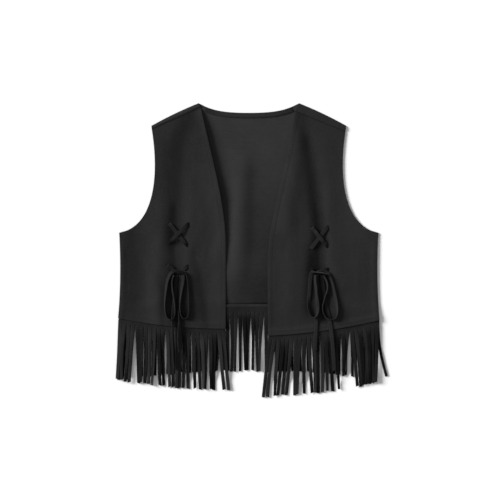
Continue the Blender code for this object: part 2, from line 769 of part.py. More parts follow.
def main():
    clear_scene()
    cloth = material("cloth", CLOTH_COLOUR)
    inside = material("inside", FACING_COLOUR)
    thong = material("thong", THONG_COLOUR)
    body = [make_back(cloth), make_neck_facing(inside), make_front("right", cloth), make_front("left", cloth)]
    fringes = make_fringes(cloth)
    lacing = [piece for side in SIDES for piece in make_lacing(side, thong)]
    loose = [piece for piece in lacing if "loop" in piece.name or "tail" in piece.name]
    gather(body + fringes + lacing, loose)


main()
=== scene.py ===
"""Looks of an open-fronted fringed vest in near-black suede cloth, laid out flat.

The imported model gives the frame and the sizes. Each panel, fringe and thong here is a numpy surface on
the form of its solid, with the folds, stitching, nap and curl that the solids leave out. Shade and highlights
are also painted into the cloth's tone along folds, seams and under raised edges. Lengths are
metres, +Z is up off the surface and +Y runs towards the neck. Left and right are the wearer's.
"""

from __future__ import annotations

import logging
import math
from dataclasses import dataclass, field
from enum import Enum

import bmesh
import bpy
import numpy as np
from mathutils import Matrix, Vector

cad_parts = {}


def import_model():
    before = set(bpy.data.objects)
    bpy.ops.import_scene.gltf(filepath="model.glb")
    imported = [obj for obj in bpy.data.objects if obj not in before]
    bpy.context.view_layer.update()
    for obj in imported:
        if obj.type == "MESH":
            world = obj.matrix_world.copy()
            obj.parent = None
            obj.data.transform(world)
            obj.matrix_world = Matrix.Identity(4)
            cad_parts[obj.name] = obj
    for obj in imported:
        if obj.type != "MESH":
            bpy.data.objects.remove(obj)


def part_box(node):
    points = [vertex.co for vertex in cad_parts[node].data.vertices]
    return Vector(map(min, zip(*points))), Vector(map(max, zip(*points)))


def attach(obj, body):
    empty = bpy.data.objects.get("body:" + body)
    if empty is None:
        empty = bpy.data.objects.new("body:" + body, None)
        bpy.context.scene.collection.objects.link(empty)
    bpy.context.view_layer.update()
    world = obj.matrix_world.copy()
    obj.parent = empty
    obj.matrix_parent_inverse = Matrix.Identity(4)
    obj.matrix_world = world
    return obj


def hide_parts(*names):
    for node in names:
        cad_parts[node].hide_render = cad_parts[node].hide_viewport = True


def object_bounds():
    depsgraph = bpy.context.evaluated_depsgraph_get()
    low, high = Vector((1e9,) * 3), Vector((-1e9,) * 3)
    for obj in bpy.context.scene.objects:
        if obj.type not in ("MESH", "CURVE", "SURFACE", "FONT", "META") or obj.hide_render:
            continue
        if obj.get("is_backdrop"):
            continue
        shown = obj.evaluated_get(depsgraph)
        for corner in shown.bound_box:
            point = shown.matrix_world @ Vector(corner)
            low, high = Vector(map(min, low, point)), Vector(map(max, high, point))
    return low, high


log = logging.getLogger("vest")
Array = np.ndarray
BODY = "root"
CURVE_STEPS = 24
LINE_POINTS = 201

# The section of a flat strip, as shares of its width and of its thickness
STRIP_SIDE = np.array((-0.5, -0.46, -0.24, 0.0, 0.24, 0.46, 0.5, 0.5, 0.46, 0.24, 0.0, -0.24, -0.46, -0.5))
STRIP_UP = np.array((0.22, 0.5, 0.5, 0.5, 0.5, 0.5, 0.22, -0.22, -0.5, -0.5, -0.5, -0.5, -0.5, -0.22))

# The section of a fringe's uncut strip from its upper edge to its lower one, and how much of its bead is there
BAND_SIDE = np.array(
    (-0.5, -0.48, -0.44, -0.38, -0.32, -0.26, -0.20, -0.14, 0.1, 0.47, 0.5, 0.5, 0.3, -0.1, -0.5)
)
BAND_UP = np.array((0.2, 0.5, 0.5, 0.5, 0.5, 0.5, 0.5, 0.5, 0.5, 0.14, 0.05, -0.2, -0.5, -0.5, -0.2))
BAND_BEAD = np.array((0.0, 0.35, 0.8, 1.0, 1.0, 0.85, 0.4, 0.0, 0.0, 0.0, 0.0, 0.0, 0.0, 0.0, 0.0))


class Side(Enum):
    """The wearer's side, whose value is the sign of its x."""

    RIGHT = -1
    LEFT = 1

    @property
    def word(self) -> str:
        """The side's name as the solids' names have it."""
        return self.name.lower()


def smooth(start: float, end: float, value: Array | float) -> Array:
    """An even S: 0 before start, 1 after end, and 3t^2 - 2t^3 between them.

    Args:
        start: Where the rise begins.
        end: Where it is complete.
        value: The numbers to map.

    Returns:
        The mapped numbers.
    """
    t = np.clip((np.asarray(value, float) - start) / (end - start), 0, 1)
    return t * t * (3 - 2 * t)


def bell(distance: Array, width: Array | float) -> Array:
    """A bell curve, exp(-(distance / width)^2)."""
    return np.exp(-((distance / width) ** 2))


def bezier(p0: tuple, p1: tuple, p2: tuple, p3: tuple, samples: int = 200) -> Array:
    """Points along a cubic Bezier curve.

    Args:
        p0: Its start.
        p1: Its first handle.
        p2: Its second handle.
        p3: Its end.
        samples: The number of steps.

    Returns:
        An array of samples + 1 points.
    """
    t = np.linspace(0, 1, samples + 1)[:, None]
    a, b, c, d = map(np.array, (p0, p1, p2, p3))
    return (1 - t) ** 3 * a + 3 * (1 - t) ** 2 * t * b + 3 * (1 - t) * t**2 * c + t**3 * d


def lengths_along(points: Array) -> Array:
    """The running length at each point of a line."""
    return np.concatenate([[0.0], np.cumsum(np.linalg.norm(np.diff(points, axis=0), axis=1))])


def at_lengths(points: Array, lengths: Array) -> Array:
    """Points at these running lengths along a line.

    Args:
        points: The line.
        lengths: The running lengths.

    Returns:
        One point for each length.
    """
    along = lengths_along(points)
    return np.stack([np.interp(lengths, along, axis) for axis in points.T], axis=1)


def evenly(points: Array, count: int) -> Array:
    """The same line again as count equal steps."""
    return at_lengths(points, np.linspace(0, lengths_along(points)[-1], count + 1))


def through(points: tuple, step: float, least: int = 4) -> Array:
    """A Catmull-Rom curve through given points, cut into equal steps.

    Args:
        points: The route.
        step: About the length of a step.
        least: The fewest steps.

    Returns:
        The points of the smooth line.
    """
    p = np.array(points, float)
    p = np.vstack([2 * p[0] - p[1], p, 2 * p[-1] - p[-2]])
    a, b, c, d = (p[i : len(p) - 3 + i, None] for i in range(4))
    t = np.linspace(0, 1, CURVE_STEPS, endpoint=False)[None, :, None]
    line = 0.5 * (2 * b + (c - a) * t + (2 * a - 5 * b + 4 * c - d) * t**2 + (3 * b - a - 3 * c + d) * t**3)
    line = np.vstack([line.reshape(-1, p.shape[1]), p[-2:-1]])
    return evenly(line, max(least, round(lengths_along(line)[-1] / step)))


def unit(vectors: Array) -> Array:
    """Vectors of length one."""
    return vectors / np.linalg.norm(vectors, axis=-1, keepdims=True)


def hump(share: Array) -> Array:
    """A parabola, 0 at both ends of a run and 1 in its middle."""
    return 4 * share * (1 - share)


def rightward(line: Array) -> Array:
    """Unit vectors square to a flat line, to the right of its run."""
    run = unit(np.gradient(line, axis=0))
    return np.stack([run[:, 1], -run[:, 0]], axis=1)


def mirrored(half: Array) -> Array:
    """A flat line of the +X half that ends on the middle, as a line from -X to +X."""
    return np.vstack([half * (-1, 1), half[-2::-1]])


def with_height(points: Array, height: Array) -> Array:
    """Flat points with a height added as their third number."""
    return np.concatenate([points, np.asarray(height)[..., None]], axis=-1)


def ripple(
    x: Array, y: Array, wave: float, seed: int, waves: int = 9, spread: tuple = (0.7, 1.5)
) -> Array:
    """Uneven low waviness between about -1 and 1: a sum of sines that run in chance directions.

    Args:
        x: Places across.
        y: Places along.
        wave: The middle wavelength.
        seed: The chance sequence.
        waves: How many sines are summed.
        spread: The shortest and longest wavelength as shares of the middle one.

    Returns:
        The waviness at each place.
    """
    chance = np.random.default_rng(seed)
    total = np.zeros(np.broadcast(x, y).shape)
    for _ in range(waves):
        heading, phase = chance.uniform(0, 2 * math.pi, 2)
        number = 2 * math.pi / (wave * chance.uniform(*spread))
        total += np.sin(number * (x * math.cos(heading) + y * math.sin(heading)) + phase)
    return total / math.sqrt(waves)


def coons(bottom: Array, top: Array, inner: Array, outer: Array, u: Array, v: Array) -> Array:
    """A sheet between four edges: the two ruled sheets added, less the sheet through the corners.

    Args:
        bottom: Edge at v = 0, a point for each u.
        top: Edge at v = 1, a point for each u.
        inner: Edge at u = 0, a point for each v.
        outer: Edge at u = 1, a point for each v.
        u: Shares across.
        v: Shares up.

    Returns:
        Points as rows (v) of columns (u).
    """
    u, v = u[None, :, None], v[:, None, None]
    across = (1 - u) * inner[:, None] + u * outer[:, None]
    upward = (1 - v) * bottom[None] + v * top[None]
    corners = (1 - v) * ((1 - u) * inner[0] + u * outer[0]) + v * ((1 - u) * inner[-1] + u * outer[-1])
    return across + upward - corners


@dataclass(frozen=True)
class Fold:
    """A soft ridge, or a trough where rise is negative, along a straight run of the cloth."""

    from_x: float
    from_y: float
    to_x: float
    to_y: float
    half_width: float
    rise: float
    end_fade: float = 0.6

    def height(self, x: Array, y: Array) -> Array:
        """The height that the fold adds: a bell across its run, faded out past its ends.

        Args:
            x: Places across.
            y: Places along.

        Returns:
            The added heights.
        """
        run_x, run_y = self.to_x - self.from_x, self.to_y - self.from_y
        length = math.hypot(run_x, run_y)
        along = ((x - self.from_x) * run_x + (y - self.from_y) * run_y) / length
        across = ((x - self.from_x) * run_y - (y - self.from_y) * run_x) / length
        past_end = np.maximum(0, np.maximum(-along, along - length))
        return self.rise * bell(np.hypot(across, past_end * self.end_fade), self.half_width)


@dataclass(frozen=True)
class Band:
    """A long soft trough, or a stroke of painted shade and highlight, that winds down the cloth."""

    stops: tuple

    def height(self, x: Array, y: Array) -> Array:
        """A bell across the band, whose middle, half-width and rise are read from its stops by height.

        Args:
            x: Places across.
            y: Places along.

        Returns:
            The added heights, or tones.
        """
        level, middle, half_width, rise = np.array(sorted(self.stops)).T
        place = np.interp(y, level, middle)
        return np.interp(y, level, rise) * bell(x - place, np.interp(y, level, half_width))


def summed(folds: tuple, x: Array, y: Array) -> Array | float:
    """What these folds or strokes add at places, in all."""
    return sum((fold.height(x, y) for fold in folds), 0.0)


@dataclass(frozen=True)
class FrontCut:
    """The cut of one front, x measured outwards from the centre back."""

    edge_x: float
    edge_hem_y: float
    side_hem_y: float
    break_y: float
    break_handle_y: float
    neck_handle_x: float
    neck_handle_y: float
    seam_at_neck: float
    seam_at_tip: float


@dataclass(frozen=True)
class Cut:
    """The cut of the vest about its centre back, as the solids have it."""

    cloth: float = 0.0012
    gap: float = 0.0003
    neck_point: tuple = (0.100, 0.293)
    shoulder_tip: tuple = (0.195, 0.2475)
    underarm: tuple = (0.259, 0.034)
    armhole_handles: tuple = ((0.191, 0.0455), (0.177, 0.1435))
    neck_handles: tuple = ((0.074, 0.277), (0.045, 0.2735))
    back_neck_y: float = 0.2735
    side_hem_x: float = 0.261
    waist_nip: float = 0.003
    shoulder_bow: float = 0.0018
    fold_radius: float = 0.00095
    back_hem: float = -0.117
    back_side_hem: float = -0.136
    back_hem_curve: float = 2.5
    front_hem_bow: float = 0.0055
    lap: float = 0.008
    straight_steps: int = 100
    fronts: dict = field(
        default_factory=lambda: {
            Side.RIGHT: FrontCut(0.046, -0.158, -0.137, 0.0095, 0.0895, 0.073, 0.1795, 0.0090, 0.0065),
            Side.LEFT: FrontCut(0.038, -0.172, -0.141, -0.0245, 0.0555, 0.077, 0.1695, 0.0165, 0.0105),
        }
    )

    @property
    def shoulder_run(self) -> Array:
        """From the shoulder's tip to its neck point."""
        return np.subtract(self.neck_point, self.shoulder_tip)

    @property
    def shoulder_out(self) -> Array:
        """Square to the shoulder, up and outwards."""
        run = self.shoulder_run
        return np.array((run[1], -run[0])) / np.linalg.norm(run)

    def below_shoulder(self, points: Array) -> Array:
        """How far points on the +X half lie below the shoulder's fold, square to it."""
        return -(np.asarray(points) - self.neck_point) @ self.shoulder_out

    def armhole_to(self, drop: float) -> Array:
        """The armhole from the underarm to this distance below the shoulder's fold."""
        line = bezier(self.underarm, *self.armhole_handles, self.shoulder_tip)
        upper = line[len(line) // 2 :]
        end = [np.interp(-drop, -self.below_shoulder(upper), axis) for axis in upper.T]
        return np.vstack([line[self.below_shoulder(line) > drop], end])

    def seam_drop(self, side: Side, points: Array) -> Array:
        """How far the shoulder seam lies below the fold: even from its end at the tip to its end at the neck.

        Args:
            side: Which shoulder.
            points: Places on the +X half.

        Returns:
            The drop at each place.
        """
        front, run = self.fronts[side], self.shoulder_run
        share = np.clip((np.asarray(points) - self.shoulder_tip) @ run / (run @ run), 0, 1)
        return front.seam_at_tip + (front.seam_at_neck - front.seam_at_tip) * share

    def side_seam(self, hem_y: float) -> Array:
        """The side from hem to underarm, drawn in at the waist by a parabola."""
        rise = np.linspace(0, 1, LINE_POINTS)
        straight = self.side_hem_x + (self.underarm[0] - self.side_hem_x) * rise
        drawn_in = self.waist_nip * hump(rise)
        return np.stack([straight - drawn_in, hem_y + (self.underarm[1] - hem_y) * rise], axis=1)

    def outer_edge(self, hem_y: float, drop: float, side_rows: int, armhole_rows: int) -> Array:
        """Hem to shoulder along the side seam and the armhole.

        Args:
            hem_y: The hem's height at the side.
            drop: How far below the shoulder's fold the edge ends.
            side_rows: Steps up the side seam.
            armhole_rows: Steps round the armhole.

        Returns:
            The edge's points, one of them on the underarm's corner.
        """
        side = evenly(self.side_seam(hem_y), side_rows)
        return np.vstack([side, evenly(self.armhole_to(drop), armhole_rows)[1:]])

    def front_edge(self, side: Side) -> Array:
        """The free edge of a front from the hem up to the shoulder seam, x outwards."""
        cut = self.fronts[side]
        neck = np.subtract(self.neck_point, self.shoulder_out * (cut.seam_at_neck + self.gap))
        turn = (cut.edge_x, cut.break_y)
        curve = bezier(turn, (cut.edge_x, cut.break_handle_y), (cut.neck_handle_x, cut.neck_handle_y), neck)
        straight = np.linspace((cut.edge_x, cut.edge_hem_y), turn, self.straight_steps, endpoint=False)
        return np.vstack([straight, curve])

    def front_hem_y(self, side: Side, x: Array) -> Array:
        """A front's hem: a straight fall from the side to the free edge, bowed down by a parabola."""
        cut = self.fronts[side]
        share = (np.abs(x) - cut.edge_x) / (self.side_hem_x - cut.edge_x)
        fall = cut.edge_hem_y + (cut.side_hem_y - cut.edge_hem_y) * share
        return fall - self.front_hem_bow * hump(share)

    def back_hem_y(self, x: Array) -> Array:
        """The back's hem, level in the middle and falling to the sides by a power of x."""
        share = np.clip(np.abs(x) / self.side_hem_x, 0, 1) ** self.back_hem_curve
        return self.back_hem + (self.back_side_hem - self.back_hem) * share

    def back_neck(self) -> Array:
        """The back neck's left half from the neck point to the middle."""
        return bezier(self.neck_point, *self.neck_handles, (0, self.back_neck_y))


# Where the cloth lifts beside the neck, as heights
NECK_LIFTS = {
    Side.RIGHT: (Fold(-0.0935, 0.274, -0.0905, 0.262, 0.011, 0.0034),),
    Side.LEFT: (),
}

# The folds of the fronts, as heights
FRONT_FOLDS = {
    Side.RIGHT: (
        Band((
            (0.275, -0.106, 0.022, -0.0010), (0.241, -0.117, 0.024, -0.0016),
            (0.193, -0.133, 0.024, -0.0018), (0.145, -0.138, 0.022, -0.0018),
            (0.110, -0.138, 0.020, -0.0022), (0.075, -0.138, 0.016, -0.0040),
            (0.020, -0.139, 0.015, -0.0044), (-0.090, -0.142, 0.015, -0.0044),
            (-0.135, -0.143, 0.016, -0.0020),
        )),
        Fold(-0.078, 0.235, -0.056, 0.120, 0.026, 0.0046),
        Fold(-0.047, 0.100, -0.040, 0.030, 0.020, 0.0022),
        Fold(-0.078, -0.012, -0.072, -0.130, 0.038, -0.0032),
        Fold(-0.104, -0.015, -0.088, -0.130, 0.011, -0.0016),
        Fold(-0.213, -0.010, -0.215, -0.090, 0.020, -0.0028),
        Fold(-0.176, 0.010, -0.180, -0.090, 0.014, 0.0016),
        Fold(-0.046, -0.058, -0.046, -0.108, 0.020, -0.0032),
    ),
    Side.LEFT: (
        Band((
            (0.285, 0.108, 0.015, -0.0010), (0.262, 0.114, 0.016, -0.0030),
            (0.217, 0.1225, 0.016, -0.0036), (0.169, 0.131, 0.016, -0.0036),
            (0.121, 0.138, 0.0155, -0.0038), (0.073, 0.143, 0.0145, -0.0046),
            (0.020, 0.145, 0.014, -0.0046), (-0.090, 0.149, 0.014, -0.0046),
            (-0.135, 0.150, 0.015, -0.0020),
        )),
        Fold(0.097, 0.215, 0.078, 0.060, 0.018, 0.0028),
        Fold(0.084, 0.000, 0.080, -0.130, 0.016, 0.0014),
        Fold(0.200, -0.020, 0.206, -0.090, 0.020, -0.0014),
        Fold(0.034, -0.085, 0.034, -0.165, 0.016, 0.0018),
    ),
}

# Painted shade and highlights on the fronts, as tones: dark strokes along the fold troughs and round the bows
# where shade falls, light ones on slopes that face the light
FRONT_PAINTED_STROKES = {
    Side.RIGHT: (
        Band((
            (0.295, -0.116, 0.014, 0.0), (0.265, -0.1236, 0.018, -0.50),
            (0.241, -0.133, 0.022, -0.58), (0.217, -0.144, 0.025, -0.58),
            (0.193, -0.150, 0.026, -0.56), (0.145, -0.156, 0.025, -0.56),
            (0.121, -0.155, 0.024, -0.56), (0.097, -0.154, 0.021, -0.52),
            (0.073, -0.157, 0.016, -0.46), (0.045, -0.161, 0.012, -0.62),
            (0.015, -0.1605, 0.011, -0.60), (-0.015, -0.160, 0.010, 0.0),
        )),
        Fold(-0.100, 0.250, -0.096, 0.190, 0.014, -0.30),
        Fold(-0.152, 0.080, -0.154, -0.060, 0.009, -0.24),
        Fold(-0.147, -0.060, -0.145, -0.128, 0.018, -0.60),
        Fold(-0.236, 0.020, -0.235, -0.110, 0.022, -0.42),
        Fold(-0.066, 0.090, -0.056, -0.100, 0.013, 0.18),
        Band((
            (-0.020, -0.106, 0.009, 0.0), (-0.045, -0.1015, 0.009, -0.42),
            (-0.080, -0.096, 0.009, -0.42), (-0.110, -0.091, 0.008, -0.54),
            (-0.140, -0.088, 0.008, -0.40), (-0.160, -0.087, 0.008, -0.10),
        )),
        Band((
            (0.030, -0.070, 0.012, 0.0), (0.000, -0.070, 0.012, 0.18),
            (-0.080, -0.070, 0.012, 0.18), (-0.130, -0.068, 0.012, 0.05),
        )),
        Band((
            (-0.080, -0.190, 0.016, 0.0), (-0.110, -0.190, 0.018, 0.25),
            (-0.150, -0.190, 0.018, 0.32),
        )),
        Band((
            (-0.050, -0.1736, 0.006, 0.0), (-0.075, -0.1736, 0.006, -0.36),
            (-0.150, -0.1736, 0.006, -0.45),
        )),
    ),
    Side.LEFT: (
        Band((
            (0.295, 0.098, 0.013, 0.0), (0.268, 0.104, 0.014, -0.36),
            (0.217, 0.112, 0.014, -0.40), (0.169, 0.120, 0.014, -0.44),
            (0.121, 0.1245, 0.014, -0.56), (0.097, 0.127, 0.0135, -0.60),
            (0.073, 0.133, 0.012, -0.68), (0.045, 0.136, 0.011, -0.72),
            (0.000, 0.136, 0.010, -0.60), (-0.045, 0.136, 0.010, -0.52),
            (-0.075, 0.136, 0.010, 0.0),
        )),
        Fold(0.150, 0.215, 0.158, 0.110, 0.012, 0.18),
        Band((
            (0.030, 0.1224, 0.008, 0.0), (0.000, 0.1224, 0.008, -0.26),
            (-0.030, 0.1224, 0.008, -0.42), (-0.085, 0.1195, 0.011, -0.34),
            (-0.125, 0.1185, 0.011, -0.24),
            (-0.150, 0.1185, 0.011, 0.0),
        )),
        Fold(0.120, -0.005, 0.116, -0.110, 0.012, -0.42),
        Fold(0.142, -0.060, 0.148, -0.125, 0.016, -0.50),
        Fold(0.078, 0.160, 0.054, 0.050, 0.014, 0.20),
        Fold(0.196, 0.120, 0.204, 0.040, 0.024, 0.20),
    ),
}


@dataclass(frozen=True)
class Lie:
    """How the cloth lies: the height of each layer, its dome and its folds."""

    cut: Cut = Cut()
    dome: float = 0.0036
    dome_reach: float = 0.070
    shoulder_reach: float = 0.055
    lift_reach: float = 0.014
    strand_rise: float = 0.0016
    back_hem_reach: tuple = (0.003, 0.024)
    strip_reach: float = 0.010
    hem_settle_reach: float = 0.055
    hem_settled: float = 0.16
    relief_floor: float = 0.0009
    ripple_height: float = 0.00014
    ripple_wave: float = 0.030
    ripple_seed: int = 5
    edge_turns: tuple = (0.0080,)
    hem_turns: tuple = (0.0068, 0.0125)
    edge_share: float = 0.6
    turn_rise: float = 0.00022
    turn_blend: float = 0.002
    rim_width: float = 0.0016
    groove_depth: float = 0.00022
    groove_width: float = 0.0014
    side_roll: float = 0.0010
    side_roll_at: float = 0.0060
    side_roll_fade: tuple = (-0.04, -0.005)
    seam_dip: float = 0.0005
    seam_dip_width: float = 0.0022
    armhole_steps: int = 160
    directions: int = 8
    back_folds: tuple = (Fold(-0.013, 0.150, -0.020, -0.035, 0.021, 0.0036),)
    # Painted shade and highlights on the back's inside: dark beside its middle ridge and over its lower part,
    # lighter strokes where slopes face the light
    back_strokes: tuple = (
        Fold(0.002, 0.150, 0.000, 0.010, 0.012, -0.34, 0.35),
        Fold(-0.030, 0.130, -0.034, -0.050, 0.010, 0.14),
        Fold(0.030, 0.060, 0.028, -0.110, 0.036, -0.52),
        Fold(-0.050, -0.085, 0.050, -0.085, 0.055, -0.46),
        Fold(-0.193, 0.2440, -0.104, 0.2870, 0.006, 0.24),
    )
    # Painted shade: dark lines in the groove above the back's fringe strip and along the shoulder seams
    back_seam_above: float = 0.0014
    back_seam_width: float = 0.0018
    back_seam_tone: float = -0.75
    shoulder_seam_tone: float = -0.60

    @property
    def lapped(self) -> float:
        """One layer of cloth and the gap over it."""
        return self.cut.cloth + self.cut.gap

    @property
    def shoulder(self) -> float:
        """Middle of the cloth at the shoulder seam."""
        return self.cut.cloth / 2 + 2 * self.cut.fold_radius

    @property
    def floor_strand(self) -> float:
        """Middle of a strand that lies on the surface."""
        return self.cut.gap + self.cut.cloth / 2

    @property
    def front_fringe(self) -> float:
        """Middle of a front's fringe where it lies over the back's."""
        return self.floor_strand + self.strand_rise + self.lapped

    @property
    def fringe_top(self) -> float:
        """Top of the higher strands of a front's fringe."""
        return self.front_fringe + self.strand_rise + self.cut.cloth / 2

    def back(self, x: Array, y: Array) -> Array:
        """Middle of the back's cloth: flat on the surface, with its folds."""
        return self.cut.cloth / 2 + summed(self.back_folds, x, y)

    def from_front_edge(self, side: Side, x: Array, y: Array) -> Array:
        """Distance in from a front's free edge, square to it."""
        edge = self.cut.front_edge(side)
        lean = np.abs(np.gradient(edge[:, 0]) / np.maximum(np.gradient(edge[:, 1]), 1e-9))
        away = np.abs(x) - np.interp(y, edge[:, 1], edge[:, 0])
        return away / np.hypot(1, np.interp(y, edge[:, 1], lean))

    def turned_edges(self, side: Side, x: Array, y: Array) -> Array:
        """The relief of the turned edges: double cloth at the free edge and hem, and a sunk stitch line.

        Args:
            side: Which front.
            x: Places across.
            y: Places up.

        Returns:
            The added height, a raised band with a rounded rim and a bell-shaped groove along its inner side.
        """
        edge = self.from_front_edge(side, x, y)
        hem = y - self.cut.front_hem_y(side, x)
        height = np.zeros(np.shape(x))
        for distance, turns, share in ((edge, self.edge_turns, self.edge_share), (hem, self.hem_turns, 1.0)):
            band = self.turn_rise * (1 - smooth(-self.turn_blend, self.turn_blend, distance - turns[-1]))
            rim = self.turn_rise * bell(distance, self.rim_width)
            grooves = sum(bell(distance - turn, self.groove_width) for turn in turns)
            height += share * (band - rim - self.groove_depth * grooves)
        return height

    def insets(self, side: Side, x: Array, y: Array) -> tuple[Array, Array, Array]:
        """How far in places on a front lie from its side seam, its armhole and its shoulder seam.

        Args:
            side: Which front.
            x: Places across, signed.
            y: Places up.

        Returns:
            The three distances. The armhole's is the distance to the nearest of many points along it.
        """
        cut, front = self.cut, self.cut.fronts[side]
        plan = np.stack(np.broadcast_arrays(np.abs(x), y), axis=-1)
        seam = cut.side_seam(front.side_hem_y)
        from_side = np.interp(plan[..., 1], seam[:, 1], seam[:, 0]) - plan[..., 0]
        armhole = evenly(cut.armhole_to(front.seam_at_tip), self.armhole_steps)
        from_armhole = np.linalg.norm(plan[..., None, :] - armhole, axis=-1).min(axis=-1)
        return from_side, from_armhole, cut.below_shoulder(plan) - cut.seam_drop(side, plan)

    def front(self, side: Side, x: Array, y: Array) -> Array:
        """Middle of a front's cloth: low along the seams, up on the fringes at the hem, domed between.

        Args:
            side: Which front.
            x: Places across, signed.
            y: Places up.

        Returns:
            The heights: a seat, plus a dome with folds that fades to nothing at the seams.
        """
        cut = self.cut
        from_side, from_armhole, from_shoulder = self.insets(side, x, y)
        seated = smooth(0, self.shoulder_reach, from_shoulder)
        for inset in (from_side, from_armhole):
            seated = seated * smooth(0, self.dome_reach, inset)
        above_hem = y - cut.front_hem_y(side, x)
        risen = smooth(0, self.hem_settle_reach, above_hem)
        seated = seated * (self.hem_settled + (1 - self.hem_settled) * risen)
        relief = self.dome + summed(FRONT_FOLDS[side], x, y)
        relief = (relief + np.hypot(relief, self.relief_floor)) / 2
        relief = relief + self.ripple_height * ripple(x, y, self.ripple_wave, side.value + self.ripple_seed)
        lift = summed(NECK_LIFTS[side], x, y) * smooth(0, self.lift_reach, from_shoulder)
        on_back_fringe = 1 - smooth(*self.back_hem_reach, y - cut.back_hem_y(x) - cut.lap)
        on_strip = 1 - smooth(0, self.strip_reach, above_hem - cut.lap)
        seat = self.shoulder + (self.front_fringe - self.shoulder) * on_back_fringe + self.lapped * on_strip
        seam_roll = self.side_roll * bell(from_side - self.side_roll_at, self.side_roll_at)
        seam_roll = seam_roll * (1 - smooth(*self.side_roll_fade, y - cut.underarm[1]))
        dip = self.seam_dip * bell(from_shoulder, self.seam_dip_width)
        return seat + relief * seated + lift + seam_roll - dip + self.turned_edges(side, x, y)

    def back_nap(self, x: Array, y: Array) -> Array:
        """The painted shading of the back's inside: its painted strokes of shade and highlight, and a painted
        dark line of shade above the fringe's strip.
        """
        above = y - self.cut.back_hem_y(x) - self.cut.lap
        line = bell(above - self.back_seam_above, self.back_seam_width)
        return summed(self.back_strokes, x, y) + self.back_seam_tone * line

    def front_nap(self, side: Side, x: Array, y: Array) -> Array:
        """The painted shading of a front: its painted strokes of shade and highlight, and a painted dark line
        of shade along the shoulder seam.
        """
        seam = self.shoulder_seam_tone * bell(self.insets(side, x, y)[2], self.seam_dip_width)
        return summed(FRONT_PAINTED_STROKES[side], x, y) + seam

    def front_top(self, side: Side, x: Array, y: Array, reach: float = 0.0) -> Array:
        """The highest cloth within reach of places on a front, or of its fringe below the hem.

        Args:
            side: Which front.
            x: Places across, signed.
            y: Places up.
            reach: How far round each place counts.

        Returns:
            The heights of the tops.
        """
        hem = self.cut.front_hem_y(side, x)
        tops = [np.where(y < hem + reach, self.fringe_top, 0)]
        for angle in np.linspace(0, 2 * math.pi, self.directions, endpoint=False):
            px, py = x + reach * math.cos(angle), y + reach * math.sin(angle)
            inside = np.maximum(py, self.cut.front_hem_y(side, px))
            tops.append(self.front(side, px, inside) + self.cut.cloth / 2)
        return np.max(tops, axis=0)


@dataclass
class Place:
    """Where the cut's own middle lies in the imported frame."""

    x: float
    y: float

    @classmethod
    def of_solids(cls, cut: Cut) -> Place:
        """The place read from the back's solid: its middle across, and its hem's corners."""
        low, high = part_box("back")
        return cls((low[0] + high[0]) / 2, low[1] - cut.back_side_hem)

    def moved(self, points: Array) -> Array:
        """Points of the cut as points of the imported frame."""
        return np.asarray(points, float) + (self.x, self.y, 0)


def fill_mesh(
    name: str, points: Array, faces: list[Array], uv: Array, nap: Array | None = None
) -> bpy.types.Mesh:
    """A mesh from arrays of points and faces, with a UV map in metres.

    Args:
        name: The mesh's name.
        points: Places of the vertices.
        faces: Arrays of vertex numbers, one row for each face.
        uv: One pair for each vertex.
        nap: How much lighter or darker each vertex is drawn: random tone, painted shade and painted highlights.

    Returns:
        The mesh, smooth shaded.
    """
    corners = np.concatenate([f.ravel() for f in faces])
    sizes = np.concatenate([np.full(len(f), f.shape[1]) for f in faces])
    mesh = bpy.data.meshes.new(name)
    mesh.vertices.add(len(points))
    mesh.vertices.foreach_set("co", np.asarray(points, np.float32).ravel())
    mesh.loops.add(len(corners))
    mesh.loops.foreach_set("vertex_index", corners.astype(np.int32))
    mesh.polygons.add(len(sizes))
    mesh.polygons.foreach_set("loop_start", np.concatenate([[0], np.cumsum(sizes)[:-1]]).astype(np.int32))
    mesh.update(calc_edges=True)
    layer = mesh.uv_layers.new(name="cloth")
    layer.data.foreach_set("uv", np.asarray(uv, np.float32)[corners].ravel())
    if nap is not None:
        tone = mesh.attributes.new("nap", "FLOAT", "POINT")
        tone.data.foreach_set("value", np.asarray(nap, np.float32).ravel())
    mesh.shade_smooth()
    return mesh


def grid_faces(rows: int, columns: int, start: int = 0) -> Array:
    """Quads between the points of a grid that is stored row by row.

    Args:
        rows: Rows of points.
        columns: Points in a row.
        start: The number of the first point.

    Returns:
        Four vertex numbers for each quad.
    """
    index = start + np.arange(rows * columns).reshape(rows, columns)
    quads = np.stack([index[:-1, :-1], index[:-1, 1:], index[1:, 1:], index[1:, :-1]], axis=-1)
    return quads.reshape(-1, 4)


def tube_mesh(name: str, rings: Array, nap: Array | None = None) -> bpy.types.Mesh:
    """Closed tubes through rings of points: quads between neighbouring rings and a cap at each end.

    Args:
        name: The mesh's name.
        rings: Points as tubes, rings, points of a ring and x, y, z.
        nap: How much lighter or darker each point is drawn: random tone, painted shade and painted highlights.

    Returns:
        The mesh with its faces outwards. Its UV map runs round the ring and along the tube, in metres.
    """
    tubes, steps, around = rings.shape[:3]
    index = np.arange(tubes * steps * around).reshape(tubes, steps, around)
    near, far = index[:, :-1], index[:, 1:]
    quads = np.stack([near, np.roll(near, -1, axis=2), np.roll(far, -1, axis=2), far], axis=-1).reshape(-1, 4)
    caps = np.concatenate([index[:, 0, ::-1], index[:, -1]])
    middles = rings.mean(axis=2)
    along = np.concatenate(
        [np.zeros((tubes, 1)), np.cumsum(np.linalg.norm(np.diff(middles, axis=1), axis=2), axis=1)], axis=1
    )
    girth = np.linalg.norm(rings - np.roll(rings, 1, axis=2), axis=3).cumsum(axis=2)
    uv = np.stack([girth, np.broadcast_to(along[:, :, None], girth.shape)], axis=-1).reshape(-1, 2)
    mesh = fill_mesh(name, rings.reshape(-1, 3), [quads, caps], uv, nap)
    shell = bmesh.new()
    shell.from_mesh(mesh)
    bmesh.ops.recalc_face_normals(shell, faces=shell.faces)
    shell.to_mesh(mesh)
    shell.free()
    return mesh


